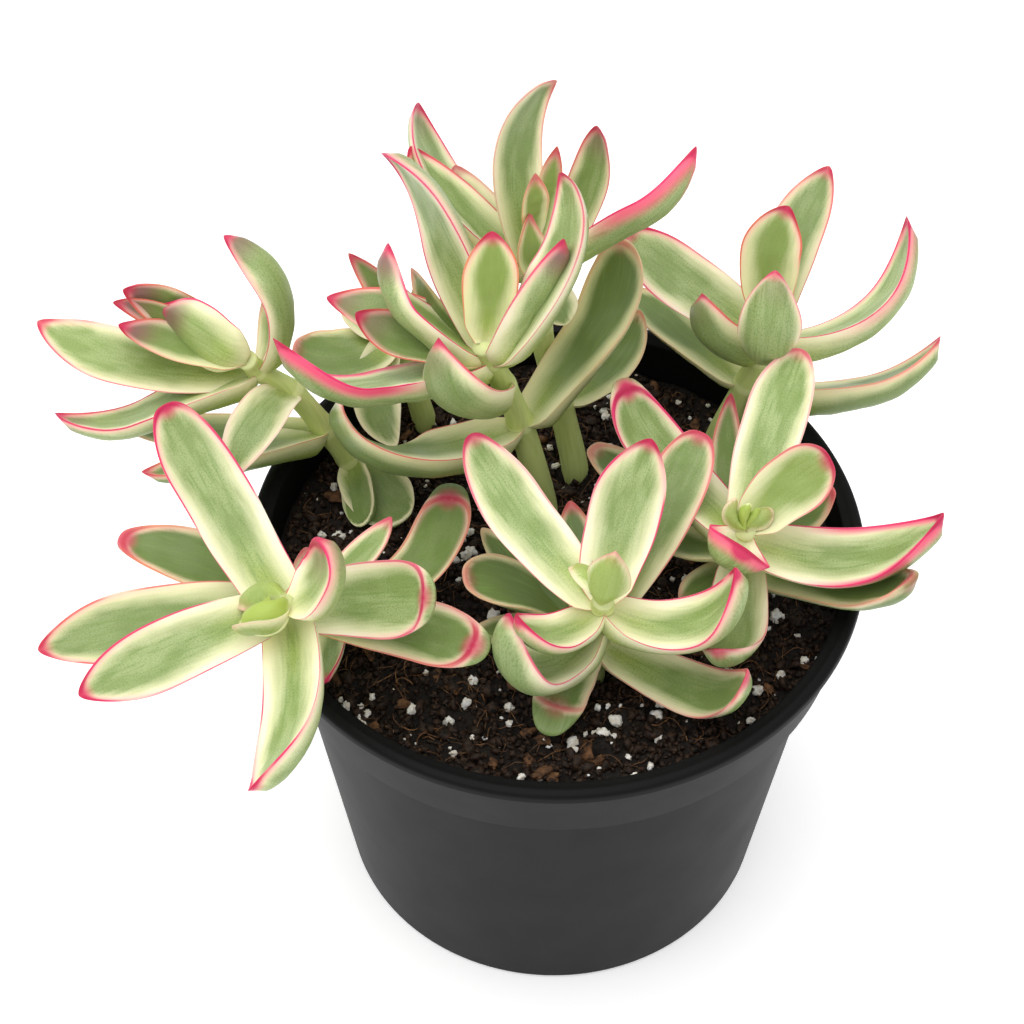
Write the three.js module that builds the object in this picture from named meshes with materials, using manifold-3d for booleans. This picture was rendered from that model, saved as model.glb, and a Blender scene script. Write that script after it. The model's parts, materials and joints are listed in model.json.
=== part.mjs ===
// A variegated candy cane crassula in a black nursery pot: the pot, its potting mix and eight leafy stems.
// Millimetres, +Z up. The origin is the centre of the pot's flat base, and the fullest stems lean toward -Y.
import * as THREE from 'three';
import { mergeVertices } from 'three/addons/utils/BufferGeometryUtils.js';
import Module from 'manifold-3d';

const wasm = await Module();
wasm.setup();

// Driving dimensions of the pot: a squat six inch nursery pot
const potHeight = 115;
const rimRadius = 76;
const lipWidth = 5;
const lipDepth = 3.4;
const collarHeight = 20.6;
const collarFootRadius = 71.5;
const bodyTopRadius = 67.6;
const baseRadius = 55;
const wall = 1.8;
const floorThickness = 2;
const baseCorner = 2;
const potSides = 48;
const drainHoles = 8;
const drainRadius = 4.5;
const drainCircle = 44;

// Driving dimensions of the potting mix
const soilLevel = 103;
const soilGap = 0.3;
const soilSides = 32;
const soilRings = 6;
const soilRoughness = 1.1;
const grainCount = 20;
const barkCount = 7;

// Driving dimensions of the stems and leaves
const stemRadius = 4.1;
const stemTopRadius = 2.9;
const stemDepth = 15;
const stemSides = 8;
const holeGap = 0.5;
const leafSides = 8;
const leafRings = 6;
const shortLeaf = 24;
const shortSides = 6;
const shortRings = 5;
const smoothing = 0.1;
const leafThickness = 0.33;
const channelDepth = 0.07;
const neckWidth = 0.6;
const broadestAt = 0.58;
const pointedTip = 0.8;
const bluntTip = 0.48;

const Z = new THREE.Vector3(0, 0, 1);
const radians = THREE.MathUtils.degToRad;

// A small repeatable source of random numbers from 0 to 1
function randomSource(seed) {
  let state = seed;
  return () => {
    state = (state * 1664525 + 1013904223) % 4294967296;
    return state / 4294967296;
  };
}

// A closed three.js geometry as a solid that can be joined and cut
function solidFrom(geometry) {
  const bare = geometry.index ? geometry.toNonIndexed() : geometry.clone();
  bare.deleteAttribute('normal');
  bare.deleteAttribute('uv');
  const merged = mergeVertices(bare, 1e-4);
  const corners = merged.index.array;
  const triangles = [];
  for (let i = 0; i < corners.length; i += 3) {
    const [a, b, c] = [corners[i], corners[i + 1], corners[i + 2]];
    if (a !== b && b !== c && c !== a) triangles.push(a, b, c);
  }
  const mesh = new wasm.Mesh({
    numProp: 3,
    vertProperties: new Float32Array(merged.attributes.position.array),
    triVerts: new Uint32Array(triangles),
  });
  return new wasm.Manifold(mesh);
}

// A solid back as a three.js geometry
function geometryFrom(solid) {
  const mesh = solid.getMesh();
  const geometry = new THREE.BufferGeometry();
  geometry.setAttribute('position', new THREE.BufferAttribute(mesh.vertProperties, 3));
  geometry.setIndex(new THREE.BufferAttribute(mesh.triVerts, 1));
  geometry.computeVertexNormals();
  return geometry;
}

// Every vertex of a simple geometry moved to where the function puts it
function reshaped(geometry, place) {
  const position = geometry.attributes.position;
  const point = new THREE.Vector3();
  for (let i = 0; i < position.count; i++) {
    point.fromBufferAttribute(position, i);
    const moved = place(point);
    position.setXYZ(i, moved.x, moved.y, moved.z);
  }
  return geometry;
}

// A turned shape about +Z from a profile of radius and height
function turned(profile, sides) {
  const points = profile.map(([radius, height]) => new THREE.Vector2(radius, height));
  return new THREE.LatheGeometry(points, sides).rotateX(Math.PI / 2);
}

// The pot: tapered body, stepped collar and flat lip, with drainage holes round the edge of its floor
function potSolid() {
  const collarFoot = potHeight - collarHeight;
  const lipInner = rimRadius - lipWidth;
  const profile = [
    [0, 0],
    [baseRadius - baseCorner, 0],
    [baseRadius, baseCorner],
    [bodyTopRadius, collarFoot - 0.6],
    [collarFootRadius - 0.7, collarFoot],
    [collarFootRadius, collarFoot + 1],
    [rimRadius - 0.9, potHeight - lipDepth],
    [rimRadius, potHeight - lipDepth + 0.8],
    [rimRadius, potHeight - 1],
    [rimRadius - 0.9, potHeight],
    [lipInner + 0.6, potHeight],
    [lipInner, potHeight - 0.7],
    [collarFootRadius - wall, collarFoot + 1.6],
    [bodyTopRadius - wall, collarFoot - 1.4],
    [baseRadius - wall, floorThickness],
    [0, floorThickness],
  ];
  let pot = solidFrom(turned(profile, potSides));
  for (let i = 0; i < drainHoles; i++) {
    const hole = new THREE.CylinderGeometry(drainRadius, drainRadius, 4 * floorThickness, 10);
    hole.rotateX(Math.PI / 2);
    hole.translate(drainCircle, 0, 0);
    hole.rotateZ((2 * Math.PI * (i + 0.5)) / drainHoles);
    pot = pot.subtract(solidFrom(hole));
  }
  return pot;
}

// Height of the lumpy soil surface above its level, from a few crossing waves
const waveRandom = randomSource(31);
const soilWaves = Array.from({ length: 7 }, () => {
  const heading = 2 * Math.PI * waveRandom();
  const spacing = 7 + 26 * waveRandom();
  return { x: Math.cos(heading) / spacing, y: Math.sin(heading) / spacing, phase: 6.28 * waveRandom() };
});

function soilHeight(x, y) {
  let sum = 0;
  for (const wave of soilWaves) sum += Math.sin(2 * Math.PI * (wave.x * x + wave.y * y) + wave.phase);
  return (soilRoughness * sum) / Math.sqrt(soilWaves.length);
}

// The potting mix fills the pot up to its level, with white grains and bark bits standing out of it
function soilSolid(stems) {
  const collarFoot = potHeight - collarHeight;
  const inner = (height) => collarFootRadius - wall - soilGap + (height - collarFoot - 1.6) * 0.09;
  const edge = inner(soilLevel);
  const profile = [[0, floorThickness], [baseRadius - wall - soilGap - 0.2, floorThickness]];
  profile.push([bodyTopRadius - wall - soilGap, collarFoot - 1.4]);
  profile.push([collarFootRadius - wall - soilGap, collarFoot + 1.8]);
  for (let ring = soilRings; ring > 0; ring--) profile.push([(edge * ring) / soilRings, soilLevel]);
  profile.push([0, soilLevel]);
  const lumpy = reshaped(turned(profile, soilSides), (point) => {
    if (point.z < soilLevel - 1) return point;
    const fade = Math.min(1, (edge - Math.hypot(point.x, point.y)) / 6);
    return point.setZ(soilLevel + soilHeight(point.x, point.y) * fade);
  });
  let soil = solidFrom(lumpy);
  const random = randomSource(7);
  const bits = [];
  while (bits.length < grainCount + barkCount) {
    const radius = 63 * Math.sqrt(random());
    const heading = 2 * Math.PI * random();
    const size = 1.5 + 1.1 * random();
    const turn = 6.28 * random();
    const [x, y] = [radius * Math.cos(heading), radius * Math.sin(heading)];
    const free = stems.every(({ stem }) => Math.hypot(stem[0][0] - x, stem[0][1] - y) > stemRadius + 5);
    if (!free) continue;
    const bark = bits.length >= grainCount;
    const bit = bark ? new THREE.BoxGeometry(3.4 * size, 1.3 * size, size) : new THREE.IcosahedronGeometry(size, 0);
    if (!bark) bit.scale(1.15, 0.9, 0.8);
    bit.rotateX(turn);
    bit.rotateZ(3 * turn);
    bit.translate(x, y, soilLevel + soilHeight(x, y) + 0.1 * size);
    bits.push(solidFrom(bit));
  }
  soil = wasm.Manifold.union([soil, ...bits]);
  for (const { stem } of stems) {
    const hole = new THREE.CylinderGeometry(stemRadius + holeGap, stemRadius + holeGap, 40, 2 * stemSides);
    hole.rotateX(Math.PI / 2);
    hole.translate(stem[0][0], stem[0][1], soilLevel - stemDepth + 20 - holeGap);
    soil = soil.subtract(solidFrom(hole));
  }
  return mainBody(soil.simplify(smoothing));
}

// A stem: a tapering tube up through its nodes, standing straight in its hole in the soil
function stemSolid(stem) {
  const points = stem.map(([x, y, z]) => new THREE.Vector3(x, y, z));
  const foot = points[0].clone().setZ(soilLevel - stemDepth);
  const neck = points[0].clone().setZ(soilLevel + 1.5);
  const under = points[0].clone().setZ(soilLevel - 4);
  const path = new THREE.CatmullRomCurve3([foot, under, neck, ...points.slice(1)], false, 'centripetal');
  const rings = 2 * stem.length;
  const tube = new THREE.CylinderGeometry(1, 1, 1, stemSides, rings);
  return solidFrom(
    reshaped(tube, (point) => {
      const along = Math.min(Math.max(point.y + 0.5, 0), 1);
      const centre = path.getPoint(along);
      const ahead = along < 0.2 ? Z : path.getTangent(along);
      const side = new THREE.Vector3(1, 0, 0).projectOnPlane(ahead).normalize();
      const back = new THREE.Vector3().crossVectors(ahead, side);
      const radius = THREE.MathUtils.lerp(stemRadius, stemTopRadius, along);
      return centre.addScaledVector(side, point.x * radius).addScaledVector(back, -point.z * radius);
    }),
  );
}

// A leaf of a stem. It grows from the stem's node with that number. heading is its compass direction, measured
// from +X toward +Y, and rise its angle above the level, both for the straight line from root to tip, in degrees.
// length is that line's, and width the blade's widest. bow is how far the middle sags below the line, and sway
// how far it lies to its right. roll turns the whole leaf about the line, and twist turns it more toward the tip.
function leaf(node, heading, rise, length, width, shape = {}) {
  const bend = { bow: 0, sway: 0, roll: 0, twist: 0, hook: 0 };
  const outline = { neck: neckWidth, broad: broadestAt, tip: pointedTip, thick: leafThickness };
  return { node, heading, rise, length, width, ...bend, ...outline, ...shape };
}

// Half the blade's width at a share of its length, from 0 at the root to 1 at the tip
function halfWidth(spec, along) {
  const grown = spec.neck + (1 - spec.neck) * Math.sin((Math.PI / 2) * Math.min(1, along / spec.broad));
  const past = Math.max(0, (along - spec.broad) / (1 - spec.broad));
  return (spec.width / 2) * grown * (1 - past ** 2.2) ** spec.tip;
}

// The blade's depth from its margins down to its keel
function keelDepth(spec, along) {
  return spec.width * spec.thick * (1 - 0.3 * along) * (1 - along ** 7) ** 0.6;
}

function leafSolid(spec, root) {
  const [h, r, w] = [radians(spec.heading), radians(spec.rise), radians(spec.roll)];
  const chord = new THREE.Vector3(Math.cos(r) * Math.cos(h), Math.cos(r) * Math.sin(h), Math.sin(r));
  const level = new THREE.Vector3(-Math.sin(r) * Math.cos(h), -Math.sin(r) * Math.sin(h), Math.cos(r));
  const up = level.applyAxisAngle(chord, -w);
  const side = new THREE.Vector3().crossVectors(up, chord);
  const short = spec.length < shortLeaf;
  const net = new THREE.SphereGeometry(1, short ? shortSides : leafSides, short ? shortRings : leafRings);
  return solidFrom(
    reshaped(net, (point) => {
      const along = (1 - Math.max(-1, Math.min(1, point.y))) / 2;
      const round = Math.hypot(point.x, point.z) || 1;
      const [across, over] = [point.x / round, point.z / round];
      const curl = Math.max(0, (along - 0.6) / 0.4);
      const centre = root.clone().addScaledVector(chord, spec.length * along);
      centre.addScaledVector(up, -4 * spec.bow * along * (1 - along) + spec.hook * curl ** 2);
      centre.addScaledVector(side, 4 * spec.sway * along * (1 - along));
      const ahead = chord.clone().multiplyScalar(spec.length);
      ahead.addScaledVector(up, -4 * spec.bow * (1 - 2 * along) + 5 * spec.hook * curl);
      ahead.addScaledVector(side, 4 * spec.sway * (1 - 2 * along)).normalize();
      const face = up.clone().projectOnPlane(ahead).normalize();
      face.applyAxisAngle(ahead, -radians(spec.twist) * along ** 2);
      const margin = new THREE.Vector3().crossVectors(face, ahead);
      const half = halfWidth(spec, along);
      const pole = round === 1 && Math.abs(point.y) > 0.999 ? 0 : 1;
      const hollow = -channelDepth * spec.width * (1 - across ** 2);
      const belly = -keelDepth(spec, along) * (1 - Math.abs(across) ** 2.4);
      centre.addScaledVector(margin, pole * half * across);
      return centre.addScaledVector(face, pole * (over > 0 ? hollow : belly) * Math.min(1, 12 * (1 - along)));
    }),
  );
}

// The main body of a joined solid, without pockets that are sealed inside it
function mainBody(solid) {
  return solid.decompose().reduce((most, piece) => (piece.volume() > most.volume() ? piece : most));
}

// A leafy stem: the stem and its leaves grown together
function shootSolid({ stem, leaves }) {
  const roots = stem.map(([x, y, z]) => new THREE.Vector3(x, y, z));
  const blades = leaves.map((spec) => leafSolid(spec, roots[spec.node]));
  return mainBody(wasm.Manifold.union([stemSolid(stem), ...blades]).simplify(smoothing));
}

// The eight leafy stems, each with its nodes from the soil up and its leaves from the lowest node up
const shoots = {
  shoot_front_left: {
    stem: [[-46, -15, 103], [-54, -27, 121], [-60, -36, 133], [-64, -41, 141], [-63, -44, 146]],
    leaves: [
      leaf(1, 112, 10, 19, 11),
      leaf(1, 157, 1, 56, 15.5, { sway: -2, roll: 10, tip: bluntTip }),
      leaf(1, 270, -6, 20, 9, { bow: 2 }),
      leaf(1, 46, 18, 39, 18, { bow: 3, roll: 25, twist: 25, hook: 2, broad: 0.7, tip: bluntTip, thick: 0.45 }),
      leaf(2, 189, -2, 62, 19, { bow: 1, sway: -3, roll: 15 }),
      leaf(2, 347, -1, 45, 17, { bow: 1, sway: 1, roll: -12, broad: 0.7, tip: bluntTip }),
      leaf(2, 50, 10, 32, 11, { bow: 1, roll: 22 }),
      leaf(3, 121, 15, 59, 17, { bow: 4, sway: -1, neck: 0.8, broad: 0.66, tip: bluntTip }),
      leaf(3, 264, -2, 50, 17, { bow: 5, sway: 3, roll: -28, twist: -38, neck: 0.75, thick: 0.42 }),
      leaf(3, 208, -2, 51, 16.5, { sway: -1, roll: 20 }),
      leaf(3, 358, 11, 37, 18.5, { bow: 7, roll: -34, broad: 0.72, tip: bluntTip, thick: 0.38 }),
      leaf(4, 58, 36, 16, 14, { bow: 5, roll: 20, thick: 0.42 }),
      leaf(4, 175, 15, 13, 8.5, { bow: 2, roll: 20 }),
      leaf(4, 202, 8, 14, 9, { bow: 3, roll: -40 }),
      leaf(4, 110, 62, 8, 5.5, { thick: 0.5 }),
      leaf(4, 290, 66, 8, 5.5, { thick: 0.5 }),
    ],
  },
  shoot_back_left: {
    stem: [[-50, 32, 103], [-52.5, 32.5, 109], [-58, 33, 119], [-66, 35, 131], [-74, 34, 140], [-76, 32, 146]],
    leaves: [
      leaf(1, 281, 2, 23, 11, { roll: -20, tip: bluntTip }),
      leaf(1, 303, 0, 25, 15, { roll: -10, tip: bluntTip }),
      leaf(2, 184, 5, 50, 13, { bow: -1, sway: 2, roll: -5 }),
      leaf(2, 206, 5, 49, 15, { bow: -3, sway: 3, roll: -25, hook: 2, thick: 0.4 }),
      leaf(3, 234, -8, 30, 14.5, { bow: -2, sway: 1, roll: 10 }),
      leaf(4, 166, 3, 57, 15, { bow: -2, sway: 5.5, roll: 15 }),
      leaf(4, 195, -1, 50, 17.5, { bow: 5.5, roll: -30, thick: 0.42 }),
      leaf(4, 111, 50, 34, 16, { bow: 9.5, roll: 106, thick: 0.4 }),
      leaf(5, 161, 29, 25, 14, { bow: 3, sway: 2, roll: -95 }),
      leaf(5, 169, 12, 32, 11, { bow: 1, roll: 10 }),
      leaf(5, 157, 20, 35, 11, { roll: 70 }),
      leaf(5, 161, 13, 36, 11, { roll: 60 }),
      leaf(4, 84, 34, 18, 10, { bow: 2, roll: 40 }),
    ],
  },
  shoot_centre: {
    stem: [[-3, 20, 103], [-9, 23, 133], [-13, 21, 149], [-16, 19, 160], [-18, 18, 166]],
    leaves: [
      leaf(1, 171, 1, 46, 17, { bow: 9, sway: 1, roll: -34, hook: 3, thick: 0.4 }),
      leaf(1, 50, 42, 48, 15, { bow: 1, sway: -3, broad: 0.72, tip: bluntTip }),
      leaf(3, 173, 0, 53, 16.5, { bow: 12, roll: -22, hook: 4, thick: 0.42 }),
      leaf(2, 179, 46, 22, 18, { bow: 10, roll: -27 }),
      leaf(3, 123, 30, 57, 13.5, { sway: -7.5, roll: 45 }),
      leaf(3, 154, 2, 45, 12, { bow: 1.5, sway: -3, roll: 20 }),
      leaf(3, 160, 6, 36, 12, { roll: 20 }),
      leaf(3, 149, 40, 38, 14.5, { bow: 11.5, roll: -17 }),
      leaf(3, 22, 62, 38.5, 15.5, { roll: 62, thick: 0.42 }),
      leaf(3, 65, 40, 47, 13, { bow: 6, sway: -7.5, roll: 25 }),
      leaf(4, 81, 59, 28, 13.5, { bow: -2, sway: -1 }),
      leaf(3, 141, 10, 45, 10, { bow: -2, roll: 30 }),
      leaf(3, 131, 14, 32, 9, { bow: -2, roll: 40 }),
    ],
  },
  shoot_back: {
    stem: [[5, 33, 103], [1, 39, 123], [-4, 45, 144], [-4, 46, 163], [-5, 48, 170]],
    leaves: [
      leaf(1, 48, 17, 32, 13, { bow: 2.5, sway: -2.5 }),
      leaf(3, 290, -10, 17, 11),
      leaf(3, 83, 49, 45, 15, { bow: 2, sway: 10, roll: -50 }),
      leaf(3, 133, 32, 51, 13, { bow: 2, sway: 3, roll: 25 }),
      leaf(3, 141, 20, 44, 12, { bow: -4, sway: -1, roll: 20 }),
      leaf(3, 138, 33, 33, 11, { bow: 2, sway: -2, roll: 20 }),
      leaf(3, 54, 53, 37, 12.5, { bow: 5.5, roll: 10 }),
      leaf(3, 25, 30, 48, 14.5, { bow: 4, sway: 6, roll: 30 }),
      leaf(4, 65, 61, 25, 8, { bow: 3.5, roll: -13 }),
      leaf(4, 88, 77, 20, 8, { bow: 3 }),
      leaf(4, 254, 73, 17, 9, { bow: 1, roll: 30 }),
    ],
  },
  shoot_back_right: {
    stem: [[42, 42, 103], [48.5, 44, 124], [51, 44, 134], [53, 44, 142], [54, 44, 147]],
    leaves: [
      leaf(1, 131, 1, 45, 14, { bow: -2, sway: 2, roll: -10 }),
      leaf(1, 5, 5, 50, 17, { bow: 1.5, roll: 30, hook: 2, thick: 0.4 }),
      leaf(3, 142, 10, 48, 15.5, { sway: 1.5, roll: 20, tip: 0.6 }),
      leaf(3, 68, 25, 47, 15, { bow: -0.5, sway: 2.5, roll: 10 }),
      leaf(3, 262, 82, 27, 15.5, { bow: 9, thick: 0.42 }),
      leaf(3, 161, 26, 19, 14.5, { bow: 4, roll: -60, thick: 0.42 }),
      leaf(3, 30, 21, 45, 17, { bow: 7, roll: 25, thick: 0.38 }),
      leaf(4, 80, 57, 29, 14.5, { bow: -2, sway: 3 }),
    ],
  },
  shoot_right_front: {
    stem: [[44, -9, 103], [44, -11, 120], [44, -13, 129], [44, -16, 136], [44, -18, 141]],
    leaves: [
      leaf(1, 135, 3, 49, 14, { sway: -1 }),
      leaf(1, 38, 12, 30, 10.5, { bow: 3, roll: -20 }),
      leaf(1, 354, 3, 43, 17, { bow: 1, sway: -4.5, roll: 5, thick: 0.36 }),
      leaf(1, 215, -5, 18, 10),
      leaf(1, 90, 9, 49, 9, { bow: 5, roll: -19 }),
      leaf(2, 259, -1, 34, 15.5, { bow: 7, roll: -12, hook: 4, thick: 0.4 }),
      leaf(2, 153, -8, 27, 12, { bow: 1, sway: 3, roll: -10 }),
      leaf(3, 125, 3, 50, 18, { bow: 1, hook: 5, broad: 0.7, tip: bluntTip }),
      leaf(3, 72, 16, 52, 15.5, { bow: -1.5, sway: 1, broad: 0.64, tip: 0.6 }),
      leaf(3, 2, 5, 48, 17, { bow: 3, sway: -5, roll: -25, twist: 50, thick: 0.42 }),
      leaf(4, 30, 28, 26, 15.5, { bow: 2, sway: 1.5, roll: -25, broad: 0.66, tip: bluntTip }),
      leaf(4, 261, 36, 12, 13, { bow: 5, roll: 13 }),
      leaf(4, 120, 78, 11, 6, { bow: 1, roll: 20, thick: 0.45 }),
      leaf(4, 40, 30, 10, 5.5, { bow: 1, thick: 0.45 }),
      leaf(4, 60, 62, 8, 5, { thick: 0.5 }),
    ],
  },
  shoot_front: {
    stem: [[8, -30, 103], [9, -33, 118], [10, -36, 130], [10, -38, 138], [10, -41, 144]],
    leaves: [
      leaf(1, 152, 5, 36, 14, { sway: -6, roll: 5, tip: bluntTip }),
      leaf(1, 166, -8, 30, 12),
      leaf(1, 144, 17, 38, 11, { bow: 1 }),
      leaf(1, 341, 2, 38, 18, { bow: 7, sway: -2, roll: 10, twist: 30, hook: 3, thick: 0.4 }),
      leaf(1, 234, 1, 24, 18, { bow: 9.5, roll: -30, hook: 2, thick: 0.4 }),
      leaf(1, 99, 12, 38, 11, { bow: 1.5 }),
      leaf(2, 61, 18, 53, 14.5, { bow: 1, sway: -1, roll: -10, broad: 0.7, tip: bluntTip }),
      leaf(2, 203, 31, 27, 19, { bow: 12.5, roll: -15 }),
      leaf(3, 125, 11, 54.5, 15.5, { sway: 2.5, roll: 10, tip: 0.6 }),
      leaf(3, 71, 29, 41, 17.5, { bow: 2, sway: 1.5 }),
      leaf(3, 357, 21, 33, 17, { bow: 11, roll: 5, hook: 3, thick: 0.42 }),
      leaf(3, 205, 20, 23, 14.5, { bow: 5.5, roll: -14 }),
      leaf(4, 42, 74, 14.5, 10.5, { roll: 150, thick: 0.4 }),
      leaf(4, 174, 48, 12, 8.5, { bow: 1, thick: 0.4 }),
    ],
  },
  shoot_back_hidden: {
    stem: [[-34, 50, 103], [-38, 54, 118], [-41, 56, 130]],
    leaves: [
      leaf(2, 198, 7, 26, 18, { bow: 2, sway: 3, tip: bluntTip }),
      leaf(2, 272, -16, 32, 12, { sway: -5 }),
      leaf(2, 136, 41, 20, 12, { bow: 1, sway: 3 }),
      leaf(2, 40, 60, 14, 9, { bow: 3, sway: -3 }),
    ],
  },
};

// Finishes
const blackPlastic = new THREE.MeshStandardMaterial({ color: '#2b2b2c', roughness: 0.55, metalness: 0 });
const pottingMix = new THREE.MeshStandardMaterial({ color: '#2a1c14', roughness: 0.95, metalness: 0 });
const leafGreen = new THREE.MeshStandardMaterial({ color: '#a9bd8a', roughness: 0.5, metalness: 0 });

// A named sub-part from its solid
function part(name, solid, material) {
  const mesh = new THREE.Mesh(geometryFrom(solid), material);
  mesh.name = name;
  return mesh;
}

const plant = new THREE.Group();
plant.add(part('pot', potSolid(), blackPlastic));
plant.add(part('soil', soilSolid(Object.values(shoots)), pottingMix));
for (const [name, shoot] of Object.entries(shoots)) plant.add(part(name, shootSolid(shoot), leafGreen));

export default plant;
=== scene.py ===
# %% [markdown]
# # Potted candy cane crassula
#
# A small succulent in a black nursery pot: eight leafy stems of thick leaves, grey-green down the middle,
# cream along both margins and edged with a thin line of pink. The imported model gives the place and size
# of every part. This script dresses it: it swaps the plain solids for finer meshes and gives each one its
# finish.
#
# The first three lines load that model. Everything after them reads its sizes from it.

# %% The frame
import json
import math
import random

import bpy
import numpy as np
from mathutils import Matrix, Vector, noise

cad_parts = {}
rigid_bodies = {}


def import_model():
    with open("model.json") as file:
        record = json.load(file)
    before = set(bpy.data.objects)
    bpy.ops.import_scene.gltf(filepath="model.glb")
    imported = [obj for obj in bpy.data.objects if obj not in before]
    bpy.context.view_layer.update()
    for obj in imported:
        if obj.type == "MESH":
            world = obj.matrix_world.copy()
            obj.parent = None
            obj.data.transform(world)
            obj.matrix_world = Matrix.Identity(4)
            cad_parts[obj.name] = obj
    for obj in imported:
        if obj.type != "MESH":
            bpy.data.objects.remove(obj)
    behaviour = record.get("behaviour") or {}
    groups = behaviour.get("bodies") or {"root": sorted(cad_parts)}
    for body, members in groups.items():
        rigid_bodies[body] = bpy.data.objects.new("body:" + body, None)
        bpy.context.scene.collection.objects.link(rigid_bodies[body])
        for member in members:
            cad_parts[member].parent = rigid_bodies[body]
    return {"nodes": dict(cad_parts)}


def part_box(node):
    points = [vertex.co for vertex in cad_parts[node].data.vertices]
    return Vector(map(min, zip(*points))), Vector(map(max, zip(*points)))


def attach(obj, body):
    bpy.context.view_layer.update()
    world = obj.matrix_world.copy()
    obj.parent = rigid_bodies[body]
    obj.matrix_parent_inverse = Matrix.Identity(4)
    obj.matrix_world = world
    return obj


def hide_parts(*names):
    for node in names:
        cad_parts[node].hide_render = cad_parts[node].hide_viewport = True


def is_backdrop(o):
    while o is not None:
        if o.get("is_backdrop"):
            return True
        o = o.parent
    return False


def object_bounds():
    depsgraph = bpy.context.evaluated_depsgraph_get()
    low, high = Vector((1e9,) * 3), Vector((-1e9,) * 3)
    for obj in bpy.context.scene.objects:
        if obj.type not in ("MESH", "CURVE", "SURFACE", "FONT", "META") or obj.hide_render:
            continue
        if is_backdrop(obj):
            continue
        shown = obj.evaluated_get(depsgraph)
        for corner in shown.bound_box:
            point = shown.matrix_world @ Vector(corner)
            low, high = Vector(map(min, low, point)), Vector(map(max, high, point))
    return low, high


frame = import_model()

MM = 0.001
box_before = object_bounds()
pot_low, pot_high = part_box("pot")
rim_radius = (pot_high[0] - pot_low[0]) / 2 / MM
pot_height = pot_high[2] / MM
print("nodes:", ", ".join(sorted(frame["nodes"])))
print(f"pot: rim radius {rim_radius:.1f} mm, height {pot_height:.1f} mm")

# %% [markdown]
# ## Camera
#
# The photograph was taken from well above, with a long lens, so that the pot hardly narrows with
# distance. The camera is placed by an orbit: a point that it looks at, a height angle and a distance. Its
# focal length is kept in pixels of the 1024 pixel picture, because that is what can be measured in a
# photograph, and turned into millimetres of lens at the end.

# %% The camera's orbit
PICTURE_SIDE = 1024
SENSOR_WIDTH = 36.0
FOCAL_PIXELS = 3000
AIM = Vector((-11, 0, 126)) * MM
ELEVATION = math.radians(50.33)
DISTANCE = 730 * MM

camera_data = bpy.data.cameras.new("camera")
camera_data.sensor_width = SENSOR_WIDTH
camera_data.lens = FOCAL_PIXELS / PICTURE_SIDE * SENSOR_WIDTH
camera_data.clip_start = 0.02
camera_data.dof.use_dof = False
camera = bpy.data.objects.new("camera", camera_data)
bpy.context.scene.collection.objects.link(camera)
bpy.context.scene.camera = camera
toward_camera = Vector((0, -math.cos(ELEVATION), math.sin(ELEVATION)))
camera.location = AIM + toward_camera * DISTANCE
camera.rotation_euler = toward_camera.to_track_quat("Z", "Y").to_euler()
print(f"camera: {camera_data.lens:.1f} mm lens, {DISTANCE / MM:.0f} mm from its aim")

# %% [markdown]
# ## Colours and nodes
#
# Colours are easiest to judge as the hex values of a screen, which are not linear in light. Blender's
# shaders work in linear light, so one function turns the one into the other. Another adds a shader node,
# sets its properties and fills its inputs, with a plain value or with the output of an earlier node. A
# mix node has several sets of sockets: for colours they are 0 for the share, 6 and 7 for the two colours,
# and 2 for the result.

# %% Two helpers for materials
def linear(hex_colour):
    """An sRGB hex colour as the linear red, green, blue and alpha that shaders take."""
    channels = [int(hex_colour[i:i + 2], 16) / 255 for i in (1, 3, 5)]
    return [c / 12.92 if c <= 0.04045 else ((c + 0.055) / 1.055) ** 2.4 for c in channels] + [1.0]


def add_node(tree, kind, inputs=None, **settings):
    """Add a node, set its properties, and fill its inputs with values or with other nodes' outputs."""
    node = tree.nodes.new(kind)
    for name, value in settings.items():
        setattr(node, name, value)
    for socket, value in (inputs or {}).items():
        if isinstance(value, bpy.types.NodeSocket):
            tree.links.new(value, node.inputs[socket])
        else:
            node.inputs[socket].default_value = value
    return node


print("cream in linear light:", [round(c, 3) for c in linear("#fbf3cf")])

# %% A new material with its shader
def new_material(name):
    """An empty node material with a Principled shader on its output."""
    material = bpy.data.materials.new(name)
    material.use_nodes = True
    tree = material.node_tree
    tree.nodes.clear()
    shader = add_node(tree, "ShaderNodeBsdfPrincipled")
    add_node(tree, "ShaderNodeOutputMaterial", {"Surface": shader.outputs["BSDF"]})
    return material, tree, shader


print("Blender", bpy.app.version_string)

# %% [markdown]
# ## Light and floor
#
# The photograph is a studio picture on white: soft light from everywhere, a little more of it from above,
# and a faint shadow where the pot stands. A white world does most of that. One broad lamp overhead gives
# the leaves their soft highlights. The floor is a plain sheet that isn't part of the plant, and it glows
# a little, as the lit white table of a studio does, so that shadows on it stay faint. Colours go to the
# picture unchanged, with the Standard view, because the finishes are matched to the colours seen in the
# photograph.

# %% World, lamp and colour view
WORLD_STRENGTH = 0.82
LAMP_WATTS = 6.4
LAMP_SIDE = 1.1
LAMP_PLACE = Vector((-0.2, 0.02, 0.95))

scene = bpy.context.scene
scene.view_settings.view_transform = "Standard"
scene.view_settings.look = "None"
world = bpy.data.worlds.new("studio")
scene.world = world
world.use_nodes = True
background = world.node_tree.nodes["Background"]
background.inputs["Color"].default_value = linear("#ffffff")
background.inputs["Strength"].default_value = WORLD_STRENGTH

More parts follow.
